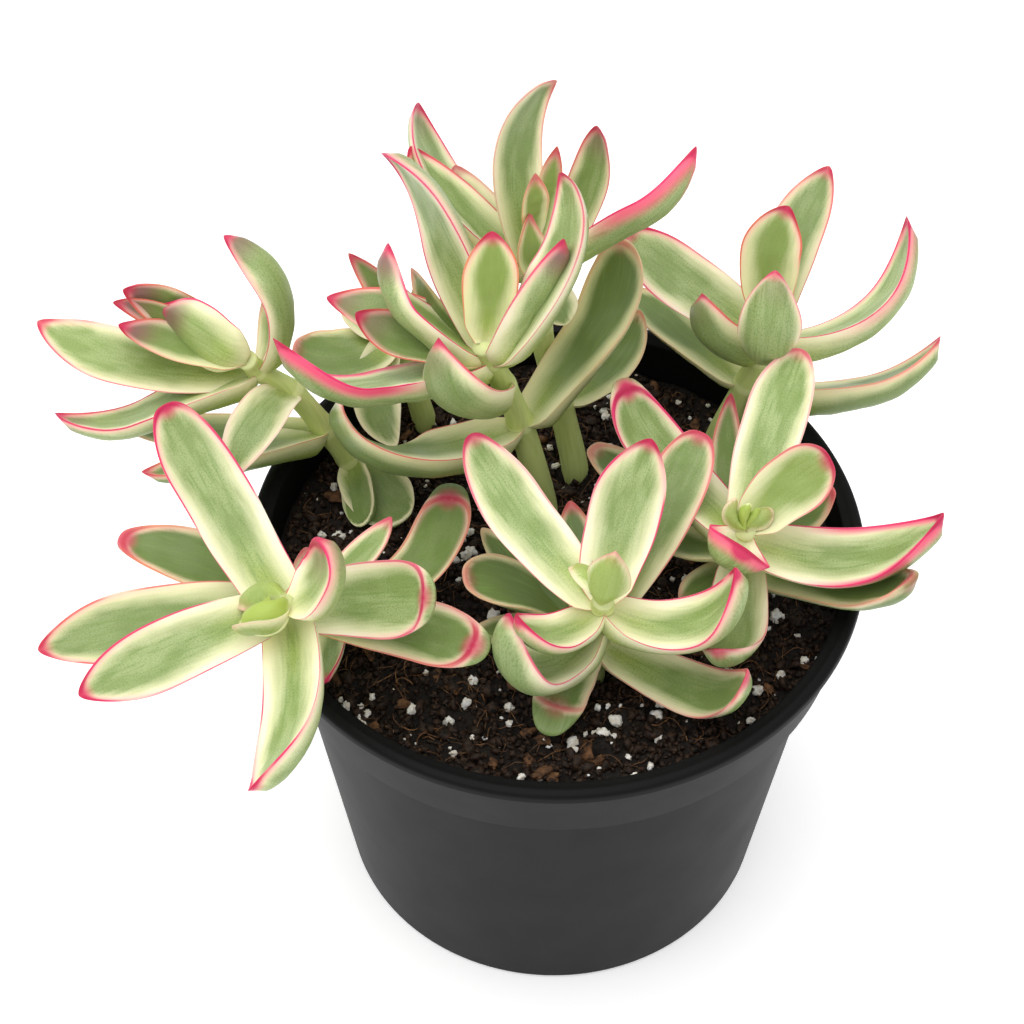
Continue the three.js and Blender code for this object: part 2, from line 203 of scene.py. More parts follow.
lamp_data = bpy.data.lights.new("overhead_lamp", "AREA")
lamp_data.shape = "SQUARE"
lamp_data.size = LAMP_SIDE
lamp_data.energy = LAMP_WATTS
lamp = bpy.data.objects.new("overhead_lamp", lamp_data)
scene.collection.objects.link(lamp)
lamp.location = LAMP_PLACE
lamp.rotation_euler = (LAMP_PLACE - Vector((0, 0, 0.1))).to_track_quat("Z", "Y").to_euler()
print(f"lamp: {LAMP_SIDE:.1f} m square, {LAMP_PLACE.z:.2f} m up")

# %% The floor
FLOOR_HALF = 3.0
FLOOR_GLOW = 0.38
FLOOR_DROP = 0.0002

floor_mesh = bpy.data.meshes.new("floor")
corner_sides = ((-1, -1), (1, -1), (1, 1), (-1, 1))
corners = [(x * FLOOR_HALF, y * FLOOR_HALF, -FLOOR_DROP) for x, y in corner_sides]
floor_mesh.from_pydata(corners, [], [(0, 1, 2, 3)])
floor = bpy.data.objects.new("floor", floor_mesh)
scene.collection.objects.link(floor)
floor_material, tree, shader = new_material("white_paper")
paper_grain = add_node(tree, "ShaderNodeTexNoise", {"Scale": 900, "Detail": 2})
paper_colour = add_node(tree, "ShaderNodeMix", {0: paper_grain.outputs["Fac"], 6: linear("#f4f4f4"),
                                                7: linear("#f7f7f7")}, data_type="RGBA")
tree.links.new(paper_colour.outputs[2], shader.inputs["Base Color"])
shader.inputs["Roughness"].default_value = 0.9
shader.inputs["Specular IOR Level"].default_value = 0.1
shader.inputs["Emission Color"].default_value = linear("#ffffff")
shader.inputs["Emission Strength"].default_value = FLOOR_GLOW
floor_mesh.materials.append(floor_material)
floor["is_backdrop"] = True
print("floor side:", 2 * FLOOR_HALF, "m")

# %% [markdown]
# ## From numbers to a mesh
#
# Every piece here is computed as arrays: vertices in millimetres, faces as vertex numbers, and
# attributes, which are values kept on each vertex that a material can read. One function turns the arrays
# into a Blender mesh in metres, shades it smooth, gives it its materials and tells each face which one it
# takes, and lets it ride on the body.

# %% Making a piece
def make_piece(name, vertices, faces, materials, face_materials=None, attributes=None):
    """A mesh object from vertices in millimetres, riding on the plant's one body."""
    mesh = bpy.data.meshes.new(name)
    mesh.from_pydata((np.asarray(vertices, float) * MM).tolist(), [], faces)
    for material in materials:
        mesh.materials.append(material)
    if face_materials is not None:
        mesh.polygons.foreach_set("material_index", face_materials)
    for attribute, values in (attributes or {}).items():
        kind, field = ("FLOAT", "value") if np.ndim(values) == 1 else ("FLOAT_VECTOR", "vector")
        layer = mesh.attributes.new(attribute, kind, "POINT")
        layer.data.foreach_set(field, np.asarray(values, np.float32).ravel())
    mesh.shade_smooth()
    mesh.update()
    piece = bpy.data.objects.new(name, mesh)
    scene.collection.objects.link(piece)
    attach(piece, "root")
    triangles = sum(len(face) - 2 for face in faces)
    print(f"{name}: {triangles} triangles")
    return piece


# %% [markdown]
# ## The pot
#
# The pot is one injection-moulded shell of black polypropylene. A turned profile is the natural way to
# make it: half a section is drawn once, with its corners rounded as the mould rounds them, and spun about
# the axis. The lip has a crown and a small step under it that catches the light, the collar stands out
# from the body, and a fine edge shows at the collar's foot. The holes in its floor are cut after that.

# %% The pot's section
COLLAR_HEIGHT = 20.6
COLLAR_FOOT_RADIUS = 71.5
BODY_TOP_RADIUS = 67.6
BASE_RADIUS = 55.0
LIP_WIDTH = 5.0
LIP_DEPTH = 3.4
WALL = 1.8
FLOOR_THICKNESS = 2.0
collar_foot = pot_height - COLLAR_HEIGHT
lip_inner = rim_radius - LIP_WIDTH

# Each corner is a radius, a height and the size of its rounding
pot_corners = [
    (BASE_RADIUS, 0, 1.6),
    (BODY_TOP_RADIUS, collar_foot - 0.5, 0.2),
    (COLLAR_FOOT_RADIUS - 0.1, collar_foot, 0.35),
    (rim_radius - 0.9, pot_height - LIP_DEPTH, 0.15),
    (rim_radius, pot_height - LIP_DEPTH + 0.35, 0.25),
    (rim_radius, pot_height - 0.6, 1.0),
    (rim_radius - 1.9, pot_height, 1.2),
    (rim_radius - 3.1, pot_height - 0.5, 0.6),
    (lip_inner, pot_height - 0.9, 0.5),
    (COLLAR_FOOT_RADIUS - WALL, collar_foot + 1.6, 0.8),
    (BODY_TOP_RADIUS - WALL, collar_foot - 1.4, 0.8),
    (BASE_RADIUS - WALL, FLOOR_THICKNESS, 1.0),
]


def rounded_outline(corners, start, end, steps=5):
    """The corners joined from start to end, each one rounded by a curve of its own size."""
    points = [Vector(start)]
    spots = [Vector(start)] + [Vector(c[:2]) for c in corners] + [Vector(end)]
    for before, corner, after, (_, _, size) in zip(spots, spots[1:], spots[2:], corners):
        back = (before - corner).normalized() * min(size, (before - corner).length * 0.45)
        ahead = (after - corner).normalized() * min(size, (after - corner).length * 0.45)
        for i in range(steps + 1):
            t = i / steps
            points.append(corner + back * (1 - t) ** 2 + ahead * t ** 2)
    return points + [Vector(end)]


pot_outline = rounded_outline(pot_corners, (0, 0), (0, FLOOR_THICKNESS))
print("points in the pot's outline:", len(pot_outline))

# %% Spinning an outline
def spun(outline, sides):
    """Vertices and faces of a closed body turned about the Z axis. The outline starts and ends on it."""
    inner = outline[1:-1]
    vertices = [(0, 0, outline[0][1]), (0, 0, outline[-1][1])]
    for radius, height in inner:
        for j in range(sides):
            turn = 2 * math.pi * j / sides
            vertices.append((radius * math.cos(turn), radius * math.sin(turn), height))
    faces = []
    last = 2 + (len(inner) - 1) * sides
    for j in range(sides):
        k = (j + 1) % sides
        faces.append((0, 2 + k, 2 + j))
        faces.append((1, last + j, last + k))
        for i in range(len(inner) - 1):
            low, high = 2 + i * sides, 2 + (i + 1) * sides
            faces.append((low + j, low + k, high + k, high + j))
    return vertices, faces


POT_SIDES = 240
pot_vertices, pot_faces = spun(pot_outline, POT_SIDES)
print("faces in the pot:", len(pot_faces))

# %% [markdown]
# ## The pot's finish
#
# Moulded polypropylene is black all through and comes out of a fine-grained mould, so it has a satin face
# rather than a mirror: broad dim reflections, a little brighter where the wall turns away. Very faint
# flow marks from the moulding cloud that sheen. A wide, weak noise varies the roughness for them, and a
# fine one gives the grain.

# %% Black polypropylene
GRAIN_SIZE = 0.5
FLOW_SIZE = 14.0

polypropylene, tree, shader = new_material("black_polypropylene")
place = add_node(tree, "ShaderNodeTexCoord").outputs["Object"]
flow = add_node(tree, "ShaderNodeTexNoise", {"Vector": place, "Scale": 1 / (FLOW_SIZE * MM), "Detail": 3})
grain = add_node(tree, "ShaderNodeTexNoise", {"Vector": place, "Scale": 1 / (GRAIN_SIZE * MM), "Detail": 2})
black = add_node(tree, "ShaderNodeMix", {0: flow.outputs["Fac"], 6: linear("#0c0c0d"),
                                         7: linear("#111112")}, data_type="RGBA")
satin = add_node(tree, "ShaderNodeMapRange", {"Value": flow.outputs["Fac"], "To Min": 0.46, "To Max": 0.56})
bump = add_node(tree, "ShaderNodeBump", {"Height": grain.outputs["Fac"], "Strength": 0.06,
                                         "Distance": 0.1 * MM})
tree.links.new(black.outputs[2], shader.inputs["Base Color"])
tree.links.new(satin.outputs["Result"], shader.inputs["Roughness"])
tree.links.new(bump.outputs["Normal"], shader.inputs["Normal"])
shader.inputs["IOR"].default_value = 1.49
shader.inputs["Specular IOR Level"].default_value = 0.1
print("polypropylene grain:", GRAIN_SIZE, "mm")

# %% The pot with its drainage holes
DRAIN_HOLES = 8
DRAIN_RADIUS = 4.5
DRAIN_CIRCLE = 44.0

pot = make_piece("pot_shell", pot_vertices, pot_faces, [polypropylene])
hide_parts("pot")
cutters = []
for i in range(DRAIN_HOLES):
    turn = 2 * math.pi * (i + 0.5) / DRAIN_HOLES
    bpy.ops.mesh.primitive_cylinder_add(vertices=32, radius=DRAIN_RADIUS * MM,
                                        depth=4 * FLOOR_THICKNESS * MM)
    cutter = bpy.context.object
    cutter.location = (DRAIN_CIRCLE * math.cos(turn) * MM, DRAIN_CIRCLE * math.sin(turn) * MM, 0)
    cutters.append(cutter)
    cut = pot.modifiers.new("drain", "BOOLEAN")
    cut.operation = "DIFFERENCE"
    cut.solver = "EXACT"
    cut.object = cutter
whole = bpy.data.meshes.new_from_object(pot.evaluated_get(bpy.context.evaluated_depsgraph_get()))
pot.modifiers.clear()
pot.data = whole
for cutter in cutters:
    bpy.data.objects.remove(cutter)
print("faces after the holes:", len(pot.data.polygons))

# %% [markdown]
# ## The potting mix
#
# The pot is filled with damp peat, shreds of bark and coir, and white perlite. Seen from a step away it
# is a dark crumbly field with bright specks, so it is built in layers: a lumpy surface first, then loose
# crumbs over it, then thin fibres, bark chips and perlite grains lying on top. The surface follows the
# same slow waves as the solid in the model, and only the fine crumbs are new. All random draws are
# seeded, so it always looks the same.

# %% The height of the surface
SOIL_LEVEL = 103.0
SOIL_WAVE = 1.1
STEM_RADIUS = 4.1
# A full turn, rounded as the solid's recipe rounds it
ROUND_TURN = 6.28


def random_source(seed):
    """Numbers from 0 to 1 in a fixed order: the same simple recipe that the solid's waves come from."""
    state = seed
    while True:
        state = (state * 1664525 + 1013904223) % 4294967296
        yield state / 4294967296


wave_random = random_source(31)
soil_waves = []
for _ in range(7):
    heading = 2 * math.pi * next(wave_random)
    spacing = 7 + 26 * next(wave_random)
    phase = ROUND_TURN * next(wave_random)
    soil_waves.append((math.cos(heading) / spacing, math.sin(heading) / spacing, phase))


def soil_height(x, y):
    """Height of the slow waves above the level of the mix."""
    waves = sum(math.sin(2 * math.pi * (a * x + b * y) + phase) for a, b, phase in soil_waves)
    return SOIL_WAVE * waves / math.sqrt(len(soil_waves))


def soil_top(x, y):
    """Height of the surface with its crumbs, and flat where it meets the pot."""
    fade = min(1.0, max(0.0, (soil_edge - math.hypot(x, y)) / 6))
    lumps = 1.5 * noise.noise(Vector((x, y, 0)) / 4.5) + 0.9 * noise.noise(Vector((x, y, 9)) / 1.9)
    lumps += 0.35 * noise.noise(Vector((x, y, 5)) / 0.9)
    return SOIL_LEVEL + soil_height(x, y) * fade + lumps * (0.5 + 0.5 * fade) - 0.2


SOIL_GAP = 0.3
soil_edge = COLLAR_FOOT_RADIUS - WALL - SOIL_GAP + (SOIL_LEVEL - collar_foot - 1.6) * 0.09
print(f"the mix is {2 * soil_edge:.1f} mm across at its top")

# %% The surface and the body under it
SOIL_SIDES = 280
SOIL_RINGS = 112

side_outline = [Vector((BASE_RADIUS - WALL - SOIL_GAP - 0.2, FLOOR_THICKNESS)),
                Vector((BODY_TOP_RADIUS - WALL - SOIL_GAP, collar_foot - 1.4)),
                Vector((COLLAR_FOOT_RADIUS - WALL - SOIL_GAP, collar_foot + 1.8))]
rings = [Vector((soil_edge * ring / SOIL_RINGS, SOIL_LEVEL)) for ring in range(SOIL_RINGS, 0, -1)]
outline = [Vector((0, FLOOR_THICKNESS))] + side_outline + rings + [Vector((0, SOIL_LEVEL))]
soil_vertices, soil_faces = spun(outline, SOIL_SIDES)
soil_vertices = [(x, y, soil_top(x, y) if z > SOIL_LEVEL - 1 else z) for x, y, z in soil_vertices]
print("faces in the mix:", len(soil_faces))

# %% [markdown]
# ## The finish of the mix
#
# Damp peat is nearly black with brown in its shreds, and matt, with a weak shine where it is wet. Perlite
# is puffed volcanic glass: chalk white where it is clean, tan where peat dust has stained it, and pitted.
# Bark and coir are mid browns, warmer than the peat. All are rough, so their colours and their small
# relief do the work.

# %% Damp peat
def mixed_material(name, dark, light, feature_mm, roughness, bump_mm):
    """A rough natural material: a noise of a real size mixes its two colours and gives its relief."""
    material, tree, shader = new_material(name)
    place = add_node(tree, "ShaderNodeTexCoord").outputs["Object"]
    mottle = add_node(tree, "ShaderNodeTexNoise", {"Vector": place, "Scale": 1 / (feature_mm * MM),
                                                   "Detail": 5, "Roughness": 0.65})
    spread = add_node(tree, "ShaderNodeMapRange", {"Value": mottle.outputs["Fac"], "From Min": 0.36,
                                                   "From Max": 0.66})
    colour = add_node(tree, "ShaderNodeMix", {0: spread.outputs["Result"], 6: linear(dark),
                                              7: linear(light)}, data_type="RGBA")
    bump = add_node(tree, "ShaderNodeBump", {"Height": mottle.outputs["Fac"], "Strength": 0.6,
                                             "Distance": bump_mm * MM})
    tree.links.new(colour.outputs[2], shader.inputs["Base Color"])
    tree.links.new(bump.outputs["Normal"], shader.inputs["Normal"])
    shader.inputs["Roughness"].default_value = roughness
    shader.inputs["Specular IOR Level"].default_value = 0.3
    return material


damp_peat = mixed_material("damp_peat", "#040302", "#22170f", 0.9, 0.7, 0.8)
peat_crumb = mixed_material("peat_crumb", "#070503", "#422d1f", 1.2, 0.6, 0.6)
coir_fibre = mixed_material("coir_fibre", "#2f1e12", "#946a44", 3.0, 0.6, 0.2)
pine_bark = mixed_material("pine_bark", "#2f1d12", "#7b5638", 2.0, 0.8, 0.4)
perlite = mixed_material("perlite", "#e2d7c2", "#ffffff", 1.3, 0.8, 0.3)

soil = make_piece("potting_mix", soil_vertices, soil_faces, [damp_peat])
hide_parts("soil")

# %% [markdown]
# ## Loose grains
#
# A crumb, a perlite grain and a chip of bark are all a lump pushed out of round. Each starts as one small
# sphere of triangles, is stretched, dented by noise that is different at every place, turned and dropped
# on the surface. Copying one template with arrays keeps thousands of them quick to make, in one mesh for
# each kind.

# %% Lumps from one template
def ball(splits):
    """Vertices and faces of a small sphere made of triangles."""
    bpy.ops.mesh.primitive_ico_sphere_add(subdivisions=splits, radius=1)
    template = bpy.context.object
    points = np.array([v.co[:] for v in template.data.vertices])
    faces = [tuple(f.vertices) for f in template.data.polygons]
    bpy.data.objects.remove(template)
    return points, faces


def lumps_at(spots, splits, dents):
    """Dented lumps in one mesh. A spot is a place, the three half sizes and the turn of one lump."""
    points, faces = ball(splits)
    vertices = []
    all_faces = []
    for number, (place, size, turn) in enumerate(spots):
        seed = Vector((number * 3.7, number * 1.3, 0))
        depth = [1 + dents * (noise.noise(Vector(p) * 1.3 + seed)
                              + 0.5 * noise.noise(Vector(p) * 3.1 + seed)
                              + 0.3 * noise.noise(Vector(p) * 6.3 + seed)) for p in points]
        shaped = points * np.array(depth)[:, None] * np.array(size)
        shaped = shaped @ np.array(turn.to_matrix()).T + np.array(place)
        offset = len(vertices) * len(points)
        vertices.append(shaped)
        all_faces += [tuple(v + offset for v in face) for face in faces]
    return np.concatenate(vertices), all_faces


def random_turn(draw):
    """Any turn at all."""
    axis = Vector((draw.gauss(0, 1), draw.gauss(0, 1), draw.gauss(0, 1))).normalized()
    return Matrix.Rotation(draw.uniform(0, 2 * math.pi), 3, axis).to_quaternion()


def random_spot(draw, margin):
    """A place on the mix, away from the pot's wall by a margin, spread evenly over the round."""
    radius = (soil_edge - margin) * math.sqrt(draw.random())
    heading = draw.uniform(0, 2 * math.pi)
    return radius * math.cos(heading), radius * math.sin(heading)


print("template:", len(ball(1)[0]), "vertices")

# %% Peat crumbs
CRUMBS = 8600

draw = random.Random(12)
spots = []
for _ in range(CRUMBS):
    size = draw.uniform(0.35, 0.95) * (2.0 if draw.random() < 0.1 else 1)
    x, y = random_spot(draw, 1.3 * size + 0.4)
    half_sizes = (size * draw.uniform(0.9, 1.5), size, size * draw.uniform(0.6, 0.9))
    spots.append(((x, y, soil_top(x, y) + 0.5 * size), half_sizes, random_turn(draw)))
crumb_vertices, crumb_faces = lumps_at(spots, 1, 0.9)
make_piece("peat_crumbs", crumb_vertices, crumb_faces, [peat_crumb])

# %% Perlite and bark
# The largest grains lie where the solid has them, and the smaller ones anywhere
GRAINS = 20
CHIPS = 7
GRAIN_REACH = 63
GRAIN_LEAST, GRAIN_SPREAD = 1.5, 1.1
STEM_CLEARANCE = 5
SMALL_GRAINS = 420
SMALL_CHIPS = 90
STEM_PLACES = [(-46, -15), (-50, 32), (-3, 20), (5, 33), (42, 42), (44, -9), (8, -30), (-34, 50)]

bit_random = random_source(7)
grain_spots = []
chip_spots = []
while len(grain_spots) + len(chip_spots) < GRAINS + CHIPS:
    radius = GRAIN_REACH * math.sqrt(next(bit_random))
    heading = 2 * math.pi * next(bit_random)
    size = GRAIN_LEAST + GRAIN_SPREAD * next(bit_random)
    turn = ROUND_TURN * next(bit_random)
    x, y = radius * math.cos(heading), radius * math.sin(heading)
    if min(math.hypot(x - a, y - b) for a, b in STEM_PLACES) < STEM_RADIUS + STEM_CLEARANCE:
        continue
    lean = Matrix.Rotation(3 * turn, 3, "Z") @ Matrix.Rotation(turn, 3, "X")
    z = SOIL_LEVEL + soil_height(x, y) + 0.1 * size
    if len(grain_spots) < GRAINS:
        grain_spots.append(((x, y, z + 0.4), (0.9 * size, 0.75 * size, 0.65 * size), lean.to_quaternion()))
    else:
        chip_spots.append(((x, y, z + 0.4), (1.8 * size, 0.8 * size, 0.55 * size), lean.to_quaternion()))

draw = random.Random(5)
for _ in range(SMALL_GRAINS):
    size = 0.28 + 1.1 * draw.random() ** 2.0
    x, y = random_spot(draw, size + 0.5)
    half_sizes = (size * draw.uniform(1, 1.3), size, size * draw.uniform(0.7, 0.9))
    grain_spots.append(((x, y, soil_top(x, y) + 0.9 * size), half_sizes, random_turn(draw)))
for _ in range(SMALL_CHIPS):
    size = draw.uniform(0.7, 1.6)
    x, y = random_spot(draw, 2.2 * size + 0.5)
    half_sizes = (size * draw.uniform(1.5, 2.2), size, 0.4 * size)
    turned = Matrix.Rotation(draw.uniform(0, ROUND_TURN), 3, "Z")
    flat = turned @ Matrix.Rotation(draw.uniform(-0.5, 0.5), 3, "X")
    chip_spots.append(((x, y, soil_top(x, y) + 0.8 * size), half_sizes, flat.to_quaternion()))
grain_vertices, grain_faces = lumps_at(grain_spots, 3, 0.55)
make_piece("perlite_grains", grain_vertices, grain_faces, [perlite])
chip_vertices, chip_faces = lumps_at(chip_spots, 3, 0.6)
make_piece("bark_chips", chip_vertices, chip_faces, [pine_bark])

# %% [markdown]
# ## Fibres
#
# Coir and root shreds lie across the mix as bent threads, a third of a millimetre thick. Each is a tube
# swept along a short random walk that stays close to the surface. The sweep is one function, because the
# stems of the plant need it too: at every point of the path it lays a ring across the path's direction.

# %% A tube along a path
def swept(path, radii, sides):
    """Vertices and faces of a closed round tube along a path, with a radius at each of its points."""
    path = np.asarray(path, float)
    ahead = np.gradient(path, axis=0)
    ahead /= np.linalg.norm(ahead, axis=1)[:, None]
    side = np.cross(ahead, (0.31, 0.94, 0.12))
    side /= np.linalg.norm(side, axis=1)[:, None]
    back = np.cross(ahead, side)
    turns = 2 * np.pi * np.arange(sides) / sides
    ring = np.cos(turns)[None, :, None] * side[:, None] + np.sin(turns)[None, :, None] * back[:, None]
    vertices = path[:, None] + ring * np.asarray(radii, float)[:, None, None]
    vertices = np.concatenate([vertices.reshape(-1, 3), path[:1], path[-1:]])
    first, last = len(vertices) - 2, len(vertices) - 1
    end = (len(path) - 1) * sides
    faces = []
    for j in range(sides):
        k = (j + 1) % sides
        faces += [(i * sides + j, i * sides + k, (i + 1) * sides + k, (i + 1) * sides + j)
                  for i in range(len(path) - 1)]
        faces += [(first, k, j), (last, end + j, end + k)]
    return vertices, faces


def joined(parts):
    """Several pairs of vertices and faces as one pair."""
    vertices = []
    faces = []
    offset = 0
    for part_vertices, part_faces in parts:
        vertices.append(part_vertices)
        faces += [tuple(v + offset for v in face) for face in part_faces]
        offset += len(part_vertices)
    return np.concatenate(vertices), faces


short_tube = swept([(0, 0, 0), (0, 0, 1), (0, 0, 2)], [1, 1, 1], 4)
print("a tube of 3 rings and 4 sides has", len(short_tube[1]), "faces")

# %% Coir fibres
FIBRES = 560
FIBRE_STEPS = 9

draw = random.Random(3)
fibres = []
while len(fibres) < FIBRES:
    x, y = random_spot(draw, 3)
    heading = draw.uniform(0, ROUND_TURN)
    curl = draw.uniform(-0.35, 0.35)
    step = draw.uniform(0.5, 1.5)
    lift = draw.uniform(0.2, 1.3)
    path = []
    for i in range(FIBRE_STEPS):
        path.append((x, y, soil_top(x, y) + 0.4 + lift * math.sin(math.pi * i / (FIBRE_STEPS - 1))))
        x += step * math.cos(heading)
        y += step * math.sin(heading)
        heading += curl + draw.uniform(-0.25, 0.25)
    if max(math.hypot(p[0], p[1]) for p in path) > soil_edge - 1:
        continue
    thickness = draw.uniform(0.09, 0.22)
    taper = [thickness * (1 - 0.6 * i / (FIBRE_STEPS - 1)) for i in range(FIBRE_STEPS)]
    fibres.append(swept(path, taper, 5))
fibre_vertices, fibre_faces = joined(fibres)
make_piece("coir_fibres", fibre_vertices, fibre_faces, [coir_fibre])

# %% [markdown]
# ## A leaf
#
# The leaves are thick: a slightly hollow upper face, a sharp margin all round, and a full belly under it.
# Many curl upward at the tip, so the belly shows there with the pink margin drawn across it. Each leaf is
# a loft. A point runs along the middle line from root to tip, and at every step a closed ring is laid
# round it, half of it the face and half the belly. Rings are closer toward the tip, and points on a ring
# closer toward the margins, because that is where the shape turns fastest.
#
# A leaf is written down the way one would describe it: the node of the stem that it grows from, its
# compass heading and its rise in degrees, its length and width in millimetres, and then only what is
# special about it.

# %% How a leaf is described
BLUNT = 0.48


def leaf(node, heading, rise, length, width, **special):
    """A leaf's description. bow sags its middle, sway pushes it sideways, roll and twist turn it, and hook
    lifts its tip. neck, broad, tip, thick and nose set its outline: how wide its root is, where it is
    broadest, how blunt it ends, how deep its belly is, and how far that belly bulges past the margin.
    age, young, pink, dusk and cream set its colours."""
    usual = {"bow": 0, "sway": 0, "roll": 0, "twist": 0, "hook": 0, "neck": 0.6, "broad": 0.58, "tip": 0.8,
             "thick": 0.33, "nose": None, "age": None, "young": None, "pink": 0.8, "dusk": 0, "cream": 0.3}
    place = {"node": node, "heading": heading, "rise": rise, "length": length, "width": width}
    return place | usual | special


print(sorted(leaf(0, 0, 0, 0, 0)))

# %% The leaf's middle line and directions
LEAF_RINGS = 44
LEAF_SIDES = 36


def leaf_axes(spec):
    """The straight line from root to tip, and the directions up and to the side of it."""
    heading, rise, roll = (math.radians(spec[name]) for name in ("heading", "rise", "roll"))
    chord = Vector((math.cos(rise) * math.cos(heading), math.cos(rise) * math.sin(heading), math.sin(rise)))
    level = Vector((-math.sin(rise) * math.cos(heading), -math.sin(rise) * math.sin(heading), math.cos(rise)))
    up = Matrix.Rotation(-roll, 3, chord) @ level
    return np.array(chord), np.array(up), np.array(up.cross(chord))


def unit(vectors):
    """The vectors, each made one long."""
    return vectors / np.linalg.norm(vectors, axis=-1, keepdims=True)


def leaf_line(spec, root, along):
    """At each share of the length: middle point, way ahead, the face's normal and the margin's side."""
    chord, up, side = leaf_axes(spec)
    s = along[:, None]
    curl = np.maximum(0, (s - 0.6) / 0.4)
    centre = root + chord * spec["length"] * s + side * 4 * spec["sway"] * s * (1 - s)
    centre = centre + up * (-4 * spec["bow"] * s * (1 - s) + spec["hook"] * curl ** 2)
    ahead = chord * spec["length"] + side * 4 * spec["sway"] * (1 - 2 * s)
    ahead = unit(ahead + up * (-4 * spec["bow"] * (1 - 2 * s) + 5 * spec["hook"] * curl))
    face = unit(up - ahead * (ahead @ up)[:, None])
    turn = -np.radians(spec["twist"]) * s ** 2
    face = face * np.cos(turn) + np.cross(ahead, face) * np.sin(turn)
    return centre, ahead, face, np.cross(face, ahead)


print("rings of a leaf:", LEAF_RINGS, "with", LEAF_SIDES, "points each")

# %% The leaf's rings
CHANNEL_DEPTH = 0.07
BELLY_CURVE = 2.5
ROOT_TAPER = 5.0
ROOT_NARROWING = 0.45
RIPPLE = 0.045
WAVER = 0.018
KEEL_SHIFT = 0.14
USUAL_WIDTH = 17
NOSE_START, NOSE_FULL, NOSE_END = 0.62, 0.96, 0.965


def leaf_half_width(spec, along):
    """Half the blade's width at a share of its length."""
    grown = spec["neck"] + (1 - spec["neck"]) * np.sin(np.pi / 2 * np.minimum(1, along / spec["broad"]))
    past = np.maximum(0, (along - spec["broad"]) / (1 - spec["broad"]))
    return spec["width"] / 2 * grown * (1 - past ** 2.2) ** spec["tip"]


def leaf_rings(spec, root, seed):
    """A leaf's points, ring by ring, and what its material reads from each of them."""
    draw = np.random.RandomState(seed)
    along = 1 - (1 - np.linspace(0, 1, LEAF_RINGS)) ** 1.6
    turns = 2 * np.pi * np.arange(LEAF_SIDES) / LEAF_SIDES
    across, over = np.cos(turns)[None, :], np.sin(turns)[None, :]
    centre, ahead, face, margin = leaf_line(spec, root, along)
    s = along[:, None]
    grown = np.minimum(1, s * spec["length"] / ROOT_TAPER)
    rooted = ROOT_NARROWING + (1 - ROOT_NARROWING) * np.sin(np.pi / 2 * grown)
    half = leaf_half_width(spec, along)[:, None] * rooted
    waver = s * draw.uniform(1.5, 2.6) + draw.rand()
    waver = 1 + WAVER * np.sin(2 * np.pi * waver + np.sign(across) * 1.3)
    half = half * waver
    depth = spec["width"] * spec["thick"] * (1 - 0.3 * s) * (1 - s ** 7) ** 0.6 * rooted
    keel = across + draw.uniform(-KEEL_SHIFT, KEEL_SHIFT) * (1 - across ** 2)
    belly = -depth * (1 - np.abs(keel) ** BELLY_CURVE) ** 0.92
    hollow = -CHANNEL_DEPTH * spec["width"] * (1 - across ** 2)
    close = np.minimum(1, 12 * (1 - s))
    lift = np.where(over > 0, hollow, belly) * close
    size = spec["width"] / USUAL_WIDTH
    for _ in range(4):
        pitch = draw.uniform(5, 14) * size
        phase = 2 * np.pi * (s * spec["length"] / pitch + draw.uniform(0.2, 0.8) * across + draw.rand())
        lift = lift + RIPPLE * size * np.abs(over) * np.sin(phase) * close
    points = centre[:, None] + margin[:, None] * (half * across)[..., None]
    points = points + face[:, None] * lift[..., None]
    nose = spec["nose"] if spec["nose"] is not None else (0.055 if spec["tip"] < 0.7 else 0.015)
    bulge = np.clip((s - NOSE_START) / (NOSE_FULL - NOSE_START), 0, 1) ** 2
    bulge = bulge * (1 - np.clip((s - NOSE_END) / (1 - NOSE_END), 0, 1) ** 2)
    push = nose * spec["length"] * bulge * np.maximum(0, -over) ** 0.6
    points = points + ahead[:, None] * push[..., None]
    return points, along, across, over, half


print("ripple on a leaf:", RIPPLE, "mm")

# %% [markdown]
# ## What the leaf's finish needs to know
#
# The colours of these leaves follow the margin: a pink line on it, cream beside it, green inside. So
# every vertex carries its distance from the margin in millimetres, positive on the face and negative on
# the belly. It also carries a flat map of the leaf in millimetres, for the grain of the colour, its
# distance from the tip, and how old, how young, how pink and how creamy this leaf is.

# %% Distance from the margin
def margin_distance(points, tip_point):
    """Distance in millimetres from every point of the rings to the nearest point of the margin."""
    margin = np.concatenate([points[:, 0], points[:, LEAF_SIDES // 2], [tip_point]])
    gaps = points[:, :, None] - margin[None, None]
    return np.sqrt((gaps ** 2).sum(axis=3).min(axis=2))


print("the margin is at points 0 and", LEAF_SIDES // 2, "of each ring")

